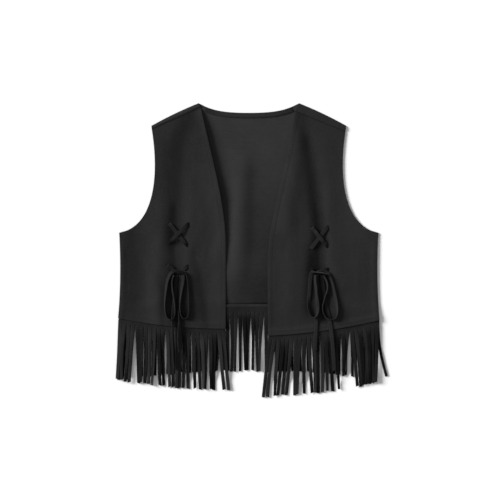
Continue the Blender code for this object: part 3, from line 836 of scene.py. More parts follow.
def strip_rings(
    centre: Array,
    across: Array,
    width: Array,
    thickness: float,
    cup: Array | float = 0.0,
    section: tuple[Array, Array] = (STRIP_SIDE, STRIP_UP),
) -> Array:
    """Rings of flat strips: a rounded, slightly cupped oblong carried along each path.

    Args:
        centre: Points of the paths, as (..., steps, 3).
        across: Unit vectors across the strips at those points.
        width: The strips' widths there.
        thickness: Their thickness.
        cup: How far the long edges stand above the middle.
        section: Places across and up of the section's points, as shares of the width and the thickness.

    Returns:
        Points as (..., steps, points of a ring, 3).
    """
    side, up = section
    run = unit(np.gradient(centre, axis=-2))
    normal = unit(np.cross(across, run))
    width, cup = np.asarray(width)[..., None, None], np.asarray(cup)[..., None, None]
    lift = thickness * up[:, None] + cup * 4 * side[:, None] ** 2
    return centre[..., None, :] + across[..., None, :] * width * side[:, None] + normal[..., None, :] * lift


def level_across(centre: Array, roll: Array) -> Array:
    """Unit vectors across a path: level where roll is 0, on edge at a quarter turn.

    Args:
        centre: Points of the paths, as (..., steps, 3).
        roll: The turn about the path at each point.

    Returns:
        The vectors, cos(roll) times the level one plus sin(roll) times the upright one.
    """
    run = unit(np.gradient(centre, axis=-2))
    level = unit(np.cross(run, (0.0, 0.0, 1.0)))
    return np.cos(roll)[..., None] * level + np.sin(roll)[..., None] * np.cross(level, run)


def placed(name: str, data: bpy.types.ID) -> bpy.types.Object:
    """A new object with this data, in the scene."""
    obj = bpy.data.objects.new(name, data)
    bpy.context.scene.collection.objects.link(obj)
    return obj


def fill_inputs(node: bpy.types.Node, values: dict[str, object]) -> None:
    """Sets a node's inputs by name."""
    for label, value in values.items():
        node.inputs[label].default_value = value


def new_group(name: str, inputs: dict[str, float], outputs: tuple[str, ...]) -> bpy.types.NodeTree:
    """An empty shader node group with value sockets and a vector input.

    Args:
        name: The group's name.
        inputs: Value inputs with their defaults.
        outputs: Value outputs.

    Returns:
        The group, with its input and output nodes in place.
    """
    group = bpy.data.node_groups.new(name, "ShaderNodeTree")
    group.interface.new_socket("Vector", in_out="INPUT", socket_type="NodeSocketVector")
    for label, value in inputs.items():
        socket = group.interface.new_socket(label, in_out="INPUT", socket_type="NodeSocketFloat")
        socket.default_value = value
    for label in outputs:
        group.interface.new_socket(label, in_out="OUTPUT", socket_type="NodeSocketFloat")
    group.nodes.new("NodeGroupInput").name = "in"
    group.nodes.new("NodeGroupOutput").name = "out"
    return group


@dataclass
class Graph:
    """A node tree with short ways to add nodes and join them."""

    tree: bpy.types.NodeTree

    def add(self, kind: str, values: dict[str, object] | None = None, **settings: object) -> bpy.types.Node:
        """A new node.

        Args:
            kind: Its type.
            values: Values of its inputs.
            settings: Its own settings.

        Returns:
            The node.
        """
        node = self.tree.nodes.new(kind)
        for label, value in settings.items():
            setattr(node, label, value)
        fill_inputs(node, values or {})
        return node

    def join(self, source: bpy.types.NodeSocket, target: bpy.types.NodeSocket) -> None:
        """A link from one socket to another."""
        self.tree.links.new(source, target)

    def noise(
        self, vector: bpy.types.NodeSocket, scale: float, detail: float, rough: float
    ) -> bpy.types.NodeSocket:
        """A noise texture.

        Args:
            vector: Where it is read.
            scale: Features to the metre, about.
            detail: Octaves.
            rough: How strong the finer octaves are.

        Returns:
            Its value.
        """
        node = self.add("ShaderNodeTexNoise", {"Scale": scale, "Detail": detail, "Roughness": rough})
        self.join(vector, node.inputs["Vector"])
        return node.outputs["Fac"]

    def stretched(self, vector: bpy.types.NodeSocket, scale: tuple) -> bpy.types.NodeSocket:
        """The vector with its axes scaled."""
        node = self.add("ShaderNodeMapping", {"Scale": scale})
        self.join(vector, node.inputs["Vector"])
        return node.outputs["Vector"]

    def math(self, operation: str, first: object, second: object) -> bpy.types.NodeSocket:
        """A sum on two sockets or numbers.

        Args:
            operation: The sum's name.
            first: A socket or a number.
            second: A socket or a number.

        Returns:
            Its value.
        """
        node = self.add("ShaderNodeMath", operation=operation)
        for value, socket in zip((first, second), node.inputs):
            if isinstance(value, (int, float)):
                socket.default_value = value
            else:
                self.join(value, socket)
        return node.outputs[0]

    def blend(self, first: object, second: object, share: object) -> bpy.types.NodeSocket:
        """A mix: the first times its share, plus the second times the rest.

        Args:
            first: A socket or a number.
            second: A socket or a number.
            share: The first's share, a socket or a number.

        Returns:
            Its value.
        """
        rest = self.math("SUBTRACT", 1.0, share)
        return self.math("ADD", self.math("MULTIPLY", first, share), self.math("MULTIPLY", second, rest))

    def spread(self, value: bpy.types.NodeSocket, low: float, high: float) -> bpy.types.NodeSocket:
        """A value taken from low..high to 0..1 and held there."""
        node = self.add("ShaderNodeMapRange", {"From Min": low, "From Max": high}, clamp=True)
        self.join(value, node.inputs["Value"])
        return node.outputs["Result"]


def nap_group() -> bpy.types.NodeTree:
    """The brushed nap of suede: clouds where it was stroked, flecks, and fine fibres for the bump."""
    group = new_group("suede_nap", {"Fleck": 0.4}, ("Tone", "Fibre"))
    graph = Graph(group)
    place = group.nodes["in"].outputs["Vector"]
    clouds = graph.spread(graph.noise(place, 16, 3, 0.55), 0.32, 0.68)
    stroked = graph.spread(graph.noise(graph.stretched(place, (1.0, 0.22, 1.0)), 120, 3, 0.6), 0.30, 0.70)
    flecks = graph.spread(graph.noise(place, 420, 3, 0.65), 0.30, 0.72)
    fibre = graph.noise(place, 1500, 3, 0.7)
    broad = graph.blend(clouds, stroked, 0.55)
    tone = graph.blend(flecks, broad, group.nodes["in"].outputs["Fleck"])
    graph.join(tone, group.nodes["out"].inputs["Tone"])
    graph.join(graph.blend(flecks, fibre, 0.6), group.nodes["out"].inputs["Fibre"])
    return group


def rib_group() -> bpy.types.NodeTree:
    """The knitted inside of the cloth: fine level ribs, broken by an uneven pull."""
    group = new_group("inside_ribs", {"Ribs": 0.5}, ("Tone", "Rib"))
    graph = Graph(group)
    place = group.nodes["in"].outputs["Vector"]
    ribs = {"Scale": 130, "Distortion": 1.2, "Detail": 2, "Detail Scale": 3}
    wave = graph.add("ShaderNodeTexWave", ribs, wave_type="BANDS", bands_direction="Y", wave_profile="SIN")
    graph.join(place, wave.inputs["Vector"])
    pulled = graph.spread(graph.noise(graph.stretched(place, (0.28, 1.0, 1.0)), 430, 3, 0.65), 0.28, 0.72)
    clouds = graph.spread(graph.noise(place, 14, 3, 0.5), 0.30, 0.70)
    level = graph.math("MULTIPLY", graph.math("ADD", wave.outputs["Fac"], pulled), 0.5)
    tone = graph.blend(level, clouds, group.nodes["in"].outputs["Ribs"])
    graph.join(tone, group.nodes["out"].inputs["Tone"])
    graph.join(level, group.nodes["out"].inputs["Rib"])
    return group


@dataclass(frozen=True)
class Finish:
    """A finish whose tone runs between a dark and a light colour as a pattern and the nap attribute's tones,
    painted shade and highlights among them, say.
    """

    name: str
    middle: float
    tint: tuple = (1.0, 1.0, 1.03)
    dark: float = 0.003
    light: float = 0.043
    spread: float = 0.15
    nap: float = 0.34
    rough: tuple = (0.88, 0.98)
    bump: float = 0.16
    bump_depth: float = 0.0005
    specular: float = 0.06
    sheen: float = 0.04
    sheen_rough: float = 0.5
    share: float = 0.5

    def material(self, group: bpy.types.NodeTree) -> bpy.types.Material:
        """The finish as a material on Object coordinates and the pieces' own nap attribute, which holds random
        tone and painted shade and highlights.

        Args:
            group: The pattern, with a tone and a height as its outputs.

        Returns:
            The material.
        """
        made = bpy.data.materials.new(self.name)
        made.use_nodes = True
        graph = Graph(made.node_tree)
        shader = made.node_tree.nodes["Principled BSDF"]
        sheen = {"Sheen Weight": self.sheen, "Sheen Roughness": self.sheen_rough}
        fill_inputs(shader, {"Specular IOR Level": self.specular, **sheen})
        pattern = graph.add("ShaderNodeGroup", node_tree=group)
        graph.join(graph.add("ShaderNodeTexCoord").outputs["Object"], pattern.inputs["Vector"])
        pattern.inputs[1].default_value = self.share
        tone, height = pattern.outputs
        # The nap attribute: random tone, and painted shade and highlights where light and shade fall on the
        # cloth
        stroke = graph.add("ShaderNodeAttribute", attribute_name="nap").outputs["Fac"]
        grain = graph.math("MULTIPLY", graph.math("SUBTRACT", tone, 0.5), self.spread)
        brushed = graph.math("ADD", graph.math("MULTIPLY", stroke, self.nap), self.middle)
        colour = graph.add("ShaderNodeMix", data_type="RGBA")
        sockets = {socket.identifier: socket for socket in (*colour.inputs, *colour.outputs)}
        sockets["A_Color"].default_value = (*(self.dark * t for t in self.tint), 1)
        sockets["B_Color"].default_value = (*(self.light * t for t in self.tint), 1)
        graph.join(graph.math("ADD", grain, brushed), sockets["Factor_Float"])
        graph.join(sockets["Result_Color"], shader.inputs["Base Color"])
        rough = graph.add("ShaderNodeMapRange", {"To Min": self.rough[1], "To Max": self.rough[0]})
        graph.join(tone, rough.inputs["Value"])
        graph.join(rough.outputs["Result"], shader.inputs["Roughness"])
        bump = graph.add("ShaderNodeBump", {"Strength": self.bump, "Distance": self.bump_depth})
        graph.join(height, bump.inputs["Height"])
        graph.join(bump.outputs["Normal"], shader.inputs["Normal"])
        return made


@dataclass
class Finishes:
    """Every finish of the vest, as materials."""

    suede: bpy.types.Material
    inside: bpy.types.Material
    facing: bpy.types.Material
    strand: bpy.types.Material
    thong: bpy.types.Material
    thread: bpy.types.Material
    hole: bpy.types.Material

    @classmethod
    def made(cls) -> Finishes:
        """The finishes, built on the two shared patterns."""
        nap, ribs = nap_group(), rib_group()
        return cls(
            suede=Finish("suede", 0.335, spread=0.24, share=0.62).material(nap),
            inside=Finish("inside", 0.525, tint=(1.04, 1.0, 1.015), spread=0.34, share=0.68).material(ribs),
            facing=Finish("facing", 0.38, tint=(1.04, 1.0, 1.015), spread=0.24).material(ribs),
            strand=Finish("strand", 0.205, spread=0.30).material(nap),
            thong=Finish("thong", 0.25, spread=0.22).material(nap),
            thread=Finish("thread", 0.21, rough=(0.65, 0.8), specular=0.1).material(nap),
            # hole: near-black, painted shade standing in for the hollow of a punched hole
            hole=Finish("hole", 0.02, spread=0.04, bump=0.05).material(nap),
        )


@dataclass
class Workshop:
    """What every piece is made with: the cut, how it lies, its place, and the finishes."""

    cut: Cut
    lie: Lie
    place: Place
    finishes: Finishes
    rim_segments: int = 2
    rim_angle: float = math.radians(50)

    def piece(
        self, mesh: bpy.types.Mesh, finish: bpy.types.Material, slot: str, *nodes: str
    ) -> bpy.types.Object:
        """A mesh as a piece of the vest.

        Args:
            mesh: The piece's mesh, already in place.
            finish: Its material.
            slot: Not used.
            nodes: The solids that it stands for.

        Returns:
            The piece's object.
        """
        obj = placed(mesh.name, mesh)
        mesh.materials.append(finish)
        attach(obj, BODY)
        if nodes:
            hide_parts(*nodes)
        log.info("%s: %d faces", obj.name, len(mesh.polygons))
        return obj

    def wall(self, obj: bpy.types.Object, thickness: float, rounding: float = 0.0004) -> None:
        """Gives an open sheet its thickness, half to each side, and softens its rim.

        Args:
            obj: The sheet.
            thickness: The cloth's thickness.
            rounding: The rim's rounding.
        """
        shell = obj.modifiers.new("wall", "SOLIDIFY")
        shell.thickness = thickness
        shell.offset = 0
        shell.material_offset = 1 if len(obj.data.materials) > 1 else 0
        shell.material_offset_rim = shell.material_offset
        rim = obj.modifiers.new("rim", "BEVEL")
        rim.width = rounding
        rim.segments = self.rim_segments
        rim.limit_method = "ANGLE"
        rim.angle_limit = self.rim_angle


def plan_area(points: Array) -> float:
    """The area of a sheet of grid points, as half the cross product of each quad's diagonals."""
    first, second = points[1:, 1:] - points[:-1, :-1], points[1:, :-1] - points[:-1, 1:]
    return float(np.linalg.norm(np.cross(first, second), axis=-1).sum() / 2)


@dataclass
class FrontPanel:
    """One front: a sheet from its free edge to the side seam and armhole, with turned edges."""

    shop: Workshop
    side: Side
    edge_columns: int = 14
    columns: int = 96
    hem_rows: int = 18
    side_rows: int = 74
    armhole_rows: int = 92
    seam_rows: int = 11
    hem_close: float = 0.018
    seam_close: float = 0.012
    edge_close: float = 0.065

    def points(self) -> Array:
        """The middle of the cloth as rows from hem to shoulder of points from free edge to side."""
        cut, side = self.shop.cut, self.side
        front = cut.fronts[side]
        seam = cut.side_seam(front.side_hem_y)
        close = np.linspace(0, self.hem_close, self.hem_rows, endpoint=False)
        wide = np.linspace(self.hem_close, lengths_along(seam)[-1], self.side_rows + 1)
        lower = at_lengths(seam, np.concatenate([close, wide]))
        armhole = cut.armhole_to(front.seam_at_tip + cut.gap)
        length = lengths_along(armhole)[-1]
        wide = np.linspace(0, length - self.seam_close, self.armhole_rows)[1:]
        close = np.linspace(length - self.seam_close, length, self.seam_rows)[1:]
        outer = np.vstack([lower, at_lengths(armhole, np.concatenate([wide, close]))])
        rise = (outer[:, 1] - outer[0, 1]) / (outer[-1, 1] - outer[0, 1])
        edge = cut.front_edge(side)
        heights = edge[0, 1] + rise * (edge[-1, 1] - edge[0, 1])
        inner = np.stack([np.interp(heights, edge[:, 1], edge[:, 0]), heights], axis=1)
        near = np.linspace(0, self.edge_close, self.edge_columns, endpoint=False)
        across = np.concatenate([near, np.linspace(self.edge_close, 1, self.columns + 1)])
        hem_x = front.edge_x + (cut.side_hem_x - front.edge_x) * across
        hem = np.stack([hem_x, cut.front_hem_y(side, hem_x)], axis=1)
        top = inner[-1] + (outer[-1] - inner[-1]) * across[:, None]
        flat = coons(hem, top, inner, outer, across, rise) * (side.value, 1)
        return with_height(flat, self.shop.lie.front(side, flat[..., 0], flat[..., 1]))

    def build(self, carried: list[bpy.types.Object]) -> bpy.types.Object:
        """The front as a shell that stands for its solid.

        Args:
            carried: Not used.

        Returns:
            The piece.
        """
        cut_points = self.points()
        nap = self.shop.lie.front_nap(self.side, cut_points[..., 0], cut_points[..., 1])
        points = self.shop.place.moved(cut_points)
        faces = grid_faces(*points.shape[:2])
        if self.side is Side.RIGHT:
            faces = faces[:, ::-1]
        name = f"{self.side.word}_front_panel"
        flat = points.reshape(-1, 3)
        mesh = fill_mesh(name, flat, [faces], flat[:, :2], nap)
        obj = self.shop.piece(mesh, self.shop.finishes.suede, "cloth", f"{self.side.word}_front")
        self.shop.wall(obj, self.shop.cut.cloth)
        area = plan_area(points)
        return obj


@dataclass
class BackPanel:
    """The back, seen from inside, with each shoulder carried over its fold to the forward seam."""

    shop: Workshop
    shoulder_columns: int = 44
    neck_columns: int = 96
    side_rows: int = 76
    armhole_rows: int = 96
    fold_steps: int = 10
    return_steps: int = 12
    puff: float = 0.0006
    dip_from: float = 0.72
    weld: float = 1e-6

    def top(self) -> Array:
        """The upper edge from -X to +X: each shoulder up to its fold, and the neck between them."""
        cut = self.shop.cut
        inset = cut.shoulder_out * (cut.fold_radius + cut.cloth / 2)
        share = np.linspace(0, 1, self.shoulder_columns + 1)[:, None]
        shoulder = np.subtract(cut.shoulder_tip, inset) + cut.shoulder_run * share
        shoulder += cut.shoulder_out * cut.shoulder_bow * hump(share)
        neck = cut.back_neck()
        neck = neck[cut.below_shoulder(neck) > 2 * np.linalg.norm(inset)]
        neck = evenly(np.vstack([shoulder[-1], neck]), self.neck_columns // 2)
        half = np.vstack([shoulder, neck[1:]])
        return mirrored(half)

    def body(self) -> Array:
        """The middle of the cloth as rows from hem to shoulder of points from -X to +X."""
        cut, top = self.shop.cut, self.top()
        outer = cut.outer_edge(
            cut.back_side_hem, cut.fold_radius + cut.cloth / 2, self.side_rows, self.armhole_rows
        )
        outer[-1] = top[-1]
        rise = (outer[:, 1] - outer[0, 1]) / (outer[-1, 1] - outer[0, 1])
        across = (top[:, 0] - top[0, 0]) / (top[-1, 0] - top[0, 0])
        hem_x = cut.side_hem_x * (2 * across - 1)
        hem = np.stack([hem_x, cut.back_hem_y(hem_x)], axis=1)
        flat = coons(hem, top, outer * (-1, 1), outer, across, rise)
        return with_height(flat, self.shop.lie.back(flat[..., 0], flat[..., 1]))

    def shoulder(self, start: Array, side: Side) -> Array:
        """One shoulder carried on: a half circle about its fold, then a flat return to the seam.

        Args:
            start: The points of the shoulder's upper edge.
            side: Which shoulder.

        Returns:
            Rows of points, the first of them the start.
        """
        cut, front = self.shop.cut, self.shop.cut.fronts[side]
        out = np.array((side.value * cut.shoulder_out[0], cut.shoulder_out[1], 0))
        angle = np.linspace(0, math.pi, self.fold_steps + 1)[:, None, None]
        lift = np.sin(angle) * out + (1 - np.cos(angle)) * (0, 0, 1)
        turned = start[None] + cut.fold_radius * lift
        tip = cut.armhole_to(front.seam_at_tip)[-1]
        neck = np.subtract(cut.neck_point, cut.shoulder_out * front.seam_at_neck)
        share = np.linspace(0, 1, len(start))[:, None]
        seam = (tip + (neck - tip) * share) * (side.value, 1)
        seam = with_height(seam, np.full(len(start), self.shop.lie.shoulder))
        back = np.linspace(0, 1, self.return_steps + 1)[1:, None, None]
        rise = self.puff * np.sin(math.pi * back) - self.shop.lie.seam_dip * smooth(self.dip_from, 1, back)
        return np.vstack([turned, turned[-1] + (seam - turned[-1]) * back + rise * (0, 0, 1)])

    def build(self, carried: list[bpy.types.Object]) -> bpy.types.Object:
        """The back as a shell with the knitted face inside and the suede face outside.

        Args:
            carried: Not used.

        Returns:
            The piece.
        """
        body = self.body()
        last = self.shoulder_columns + 1
        sheets = [
            body,
            self.shoulder(body[-1, :last], Side.RIGHT),
            self.shoulder(body[-1, -last:][::-1], Side.LEFT)[:, ::-1],
        ]
        sheets = [self.shop.place.moved(sheet) for sheet in sheets]
        starts = np.cumsum([0] + [sheet.shape[0] * sheet.shape[1] for sheet in sheets[:-1]])
        faces = np.vstack([grid_faces(*s.shape[:2], start) for s, start in zip(sheets, starts)])
        points = np.vstack([sheet.reshape(-1, 3) for sheet in sheets])
        nap = self.shop.lie.back_nap(points[:, 0] - self.shop.place.x, points[:, 1] - self.shop.place.y)
        mesh = fill_mesh("back_panel", points, [faces], points[:, :2], nap)
        joined = bmesh.new()
        joined.from_mesh(mesh)
        bmesh.ops.remove_doubles(joined, verts=joined.verts, dist=self.weld)
        joined.to_mesh(mesh)
        joined.free()
        obj = self.shop.piece(mesh, self.shop.finishes.inside, "cloth", "back")
        mesh.materials.append(self.shop.finishes.suede)
        self.shop.wall(obj, self.shop.cut.cloth)
        area = sum(plan_area(sheet) for sheet in sheets)
        return obj


@dataclass
class NeckFacing:
    """The turned edge of the back neck, a narrow strip on the inside."""

    shop: Workshop
    width: float = 0.010
    thickness: float = 0.0010
    reach: float = 0.086
    columns: int = 90
    rows: int = 10
    rounding: float = 0.0003
    # Painted shadow: the facing darkens towards its ends, where the fronts' raised neck edges cast shade
    end_tone: float = -0.45
    end_tone_from: float = 0.050
    stitched_at: float = 0.84

    def line(self) -> Array:
        """The neckline from -X to +X between the facing's ends."""
        half = self.shop.cut.back_neck()
        half = half[half[:, 0] <= self.reach]
        return evenly(mirrored(half), self.columns)

    def at_share(self, share: Array) -> Array:
        """The strip's top at shares of its width below the neckline, as flat points."""
        line = self.line()
        return line[None] + rightward(line)[None] * (self.width * share)[:, None, None]

    def build(self) -> bpy.types.Object:
        """The facing as a shell on the back's inside."""
        flat = self.at_share(np.linspace(1, 0, self.rows))
        height = self.shop.lie.back(flat[..., 0], flat[..., 1]) + self.shop.cut.cloth / 2
        height += self.shop.cut.gap + self.thickness / 2
        # painted shadow towards the facing's ends
        nap = self.end_tone * smooth(self.end_tone_from, self.reach, np.abs(flat[..., 0]))
        points = self.shop.place.moved(with_height(flat, height)).reshape(-1, 3)
        faces = grid_faces(*flat.shape[:2])
        mesh = fill_mesh("neck_facing_strip", points, [faces], points[:, :2], nap)
        obj = self.shop.piece(mesh, self.shop.finishes.facing, "inside", "neck_facing")
        self.shop.wall(obj, self.thickness, self.rounding)
        return obj


@dataclass(frozen=True)
class FringePlan:
    """Where one fringe hangs, how each strand swings, and the heights that the strands leave and reach."""

    name: str
    hem: Array
    length: float
    root: float
    level: float
    seed: int
    swings: tuple
    swing_curve: float
    short: dict
    tone: float = 0.0
    flat_to: float = 0.0
    bead: float = 0.0
    # Painted shade on the strands and strip where they lie under the fronts
    covered_tone: float = 0.0
    covered_narrow: float = 0.0
    taper: float = 0.16


@dataclass
class Fringe:
    """A strip tucked inside a hem and slit into strands that curl, twist and cross a little."""

    shop: Workshop
    plan: FringePlan
    root_drop: float = 0.010
    slit: float = 0.0003
    steps: int = 34
    layers: int = 2
    start: float = -0.05
    wander: float = 0.0016
    shortest: float = 0.97
    roll: float = math.radians(7)
    twist: float = math.radians(22)
    twist_from: float = 0.55
    cup: float = 0.0005
    cup_range: tuple = (-0.6, 1.0)
    narrowing: float = 0.10
    tip_slant: float = 0.45
    uneven_tone: float = 0.32
    tone_range: tuple = (-0.55, 0.6)
    edge_tone: float = -0.08
    edge_from: float = 0.45
    freed: tuple = (-0.03, 0.16)
    shown_past_edge: tuple = (0.004, 0.014)
    covered: tuple = (0.1, 0.5)
    root_dip: float = 0.0007
    root_blend: float = 0.004
    fall: float = 0.15
    settled_at: float = 0.42
    loose: tuple = (0.05, 0.35)
    wave: float = 0.0004
    wave_number: float = 4.0
    tapered_at: float = 0.6
    narrow_from: float = 0.1
    least_height: float = 0.0009
    back_length: float = 0.127
    second_seed: int = 40
    band_steps: int = 160
    band_inset: float = 0.0009
    band_cloth: float = 0.0012
    # Painted highlight on the back strip's lit bead
    bead_tone: float = 0.45

    def chances(self) -> dict[str, Array]:
        """The uneven numbers of each strand, a column for each kind."""
        count = len(self.plan.swings)
        low, high = (-self.wander, self.shortest), (self.wander, 1)
        pairs = np.random.default_rng(self.plan.seed).uniform(low, high, (count, 2))
        more = np.random.default_rng(self.plan.seed + self.second_seed)
        short = np.array([[self.plan.short.get(number, 1.0)] for number in range(count)])
        return {
            "wander": pairs[:, :1],
            "reach": pairs[:, 1:] * short,
            "roll": more.normal(0, self.roll, (count, 1)),
            "twist": more.normal(0, self.twist, (count, 1)),
            "phase": more.uniform(0, 2 * math.pi, (count, 1)),
            "cup": more.uniform(*self.cup_range, (count, 1)) * self.cup,
            "narrow": more.uniform(0.0, self.narrowing, (count, 1)),
            "slant": more.uniform(-self.tip_slant, self.tip_slant, (count, 1)),
            "tone": self.plan.tone + np.clip(more.normal(0, self.uneven_tone, (count, 1)), *self.tone_range),
        }

    def shown(self, x: Array) -> Array:
        """How far places across lie clear of the fronts: 1 between their free edges and 0 under them."""
        fronts = self.shop.cut.fronts
        hidden = [smooth(*self.shown_past_edge, side.value * x - fronts[side].edge_x) for side in Side]
        return (1 - hidden[0]) * (1 - hidden[1])

    def along(self) -> Array:
        """Shares of the strands' length, from just above the slits to the tips."""
        return np.linspace(self.start, 1, self.steps)[None]

    def strand_nap(self, rings: Array) -> Array:
        """The tone of each strand: its own, darker along its cut edges, and painted shade where it lies under
        the fronts.
        """
        own = self.chances()["tone"][:, :, None] + self.edge_tone * (np.abs(STRIP_SIDE) > self.edge_from)
        freed = smooth(*self.freed, self.along())[:, :, None]
        return own * freed + self.plan.covered_tone * (1 - self.shown(rings[..., 0]))

    def strand_rings(self) -> Array:
        """Rings of the strands: flat strips hung from the slits, each with its own swing, roll and cup."""
        cut, lie, plan = self.shop.cut, self.shop.lie, self.plan
        chance, count = self.chances(), len(plan.swings)
        numbers = np.arange(count)[:, None]
        total = lengths_along(plan.hem)[-1]
        root = at_lengths(plan.hem, (np.arange(count) + 0.5) / count * total)
        pitch = np.abs(plan.hem[-1, 0] - plan.hem[0, 0]) / count
        t = self.along()
        down = np.maximum(t, 0)
        swing = np.array(plan.swings)[:, None]
        x = root[:, :1] + swing * down**plan.swing_curve + chance["wander"] * np.sin(math.pi * down)
        y = root[:, 1:] - self.root_drop - plan.length * chance["reach"] * t
        high = lie.strand_rise * (numbers % self.layers)
        clear = cut.back_hem_y(x) - self.back_length - y
        level = np.maximum(lie.floor_strand + high, plan.level + high - self.fall * np.maximum(0, clear))
        z = plan.root + (level - plan.root) * smooth(0, self.settled_at, t)
        loose = smooth(*self.loose, t - plan.flat_to)
        z = z + self.wave * np.sin(self.wave_number * down + chance["phase"]) * loose
        z = z - self.root_dip * (1 - smooth(self.start, self.root_blend, t))
        roll = chance["roll"] * loose + chance["twist"] * smooth(self.twist_from, 1.0, t)
        kept = 1 - plan.taper * smooth(0, self.tapered_at, t)
        kept = kept - chance["narrow"] * smooth(self.narrow_from, 1, t)
        kept = kept * (1 - plan.covered_narrow * (1 - self.shown(x)) * smooth(*self.covered, t))
        width = (pitch - self.slit) * kept
        least = np.abs(np.sin(roll)) * width / 2 + self.least_height
        centre = np.stack([x, y, np.maximum(z, least)], axis=-1)
        rings = strip_rings(centre, level_across(centre, roll), width, cut.cloth, chance["cup"] * loose)
        rings[:, -1, :, 1] += chance["slant"] * (rings[:, -1, :, 0] - centre[:, -1, :1])
        return rings

    def band_rings(self) -> Array:
        """Rings of the uncut strip: an oblong carried along the hem, with a bead where it shows."""
        hem = self.plan.hem
        inner = (hem[:, 0] > hem[0, 0] + self.band_inset) & (hem[:, 0] < hem[-1, 0] - self.band_inset)
        flat = evenly(hem[inner], self.band_steps)
        middle = flat + (0, (self.shop.cut.lap - self.root_drop) / 2)
        centre = with_height(middle, np.full(len(flat), self.plan.root))
        width = np.full(len(flat), self.shop.cut.lap + self.root_drop)
        across = np.broadcast_to((0.0, -1.0, 0.0), centre.shape)
        rings = strip_rings(centre, across, width, self.band_cloth, 0.0, (BAND_SIDE, BAND_UP))
        rings[..., 2] += self.plan.bead * BAND_BEAD * self.shown(rings[..., 0])
        return rings[None]

    def band_nap(self, rings: Array) -> Array:
        """The strip's painted light: a painted highlight on its bead, and painted shade under the fronts."""
        light = self.bead_tone * BAND_BEAD * (self.plan.bead > 0)
        return light + self.plan.covered_tone * (1 - self.shown(rings[..., 0]))

    def build(self) -> list[bpy.types.Object]:
        """The strands and their strip, as two pieces that stand for one solid."""
        made = []
        strands, band = self.strand_rings(), self.band_rings()
        naps = self.strand_nap(strands), self.band_nap(band)
        for part, rings, nap in zip(("strands", "strip"), (strands, band), naps):
            mesh = tube_mesh(f"{self.plan.name}_{part}", self.shop.place.moved(rings), nap)
            made.append(self.shop.piece(mesh, self.shop.finishes.strand, "cloth", self.plan.name))
        return made


@dataclass(frozen=True)
class LacingPlan:
    """One front's thong: its straight stretches as two ends, and the bow as routes over the cloth."""

    cross_over: tuple
    cross_under: tuple
    knot: tuple
    knot_band: tuple
    knot_turn: float
    # Painted shade along the knot's band, graded from its start to its end
    knot_tones: tuple
    cross_tone: float
    lead_tone: float
    over_pinches: tuple
    under_pinches: tuple
    lead_outer: tuple
    lead_inner: tuple
    loop_outer: tuple
    loop_inner: tuple
    tail_outer: tuple
    tail_inner: tuple
    loop_outer_turns: tuple
    loop_inner_turns: tuple
    tail_turns: tuple


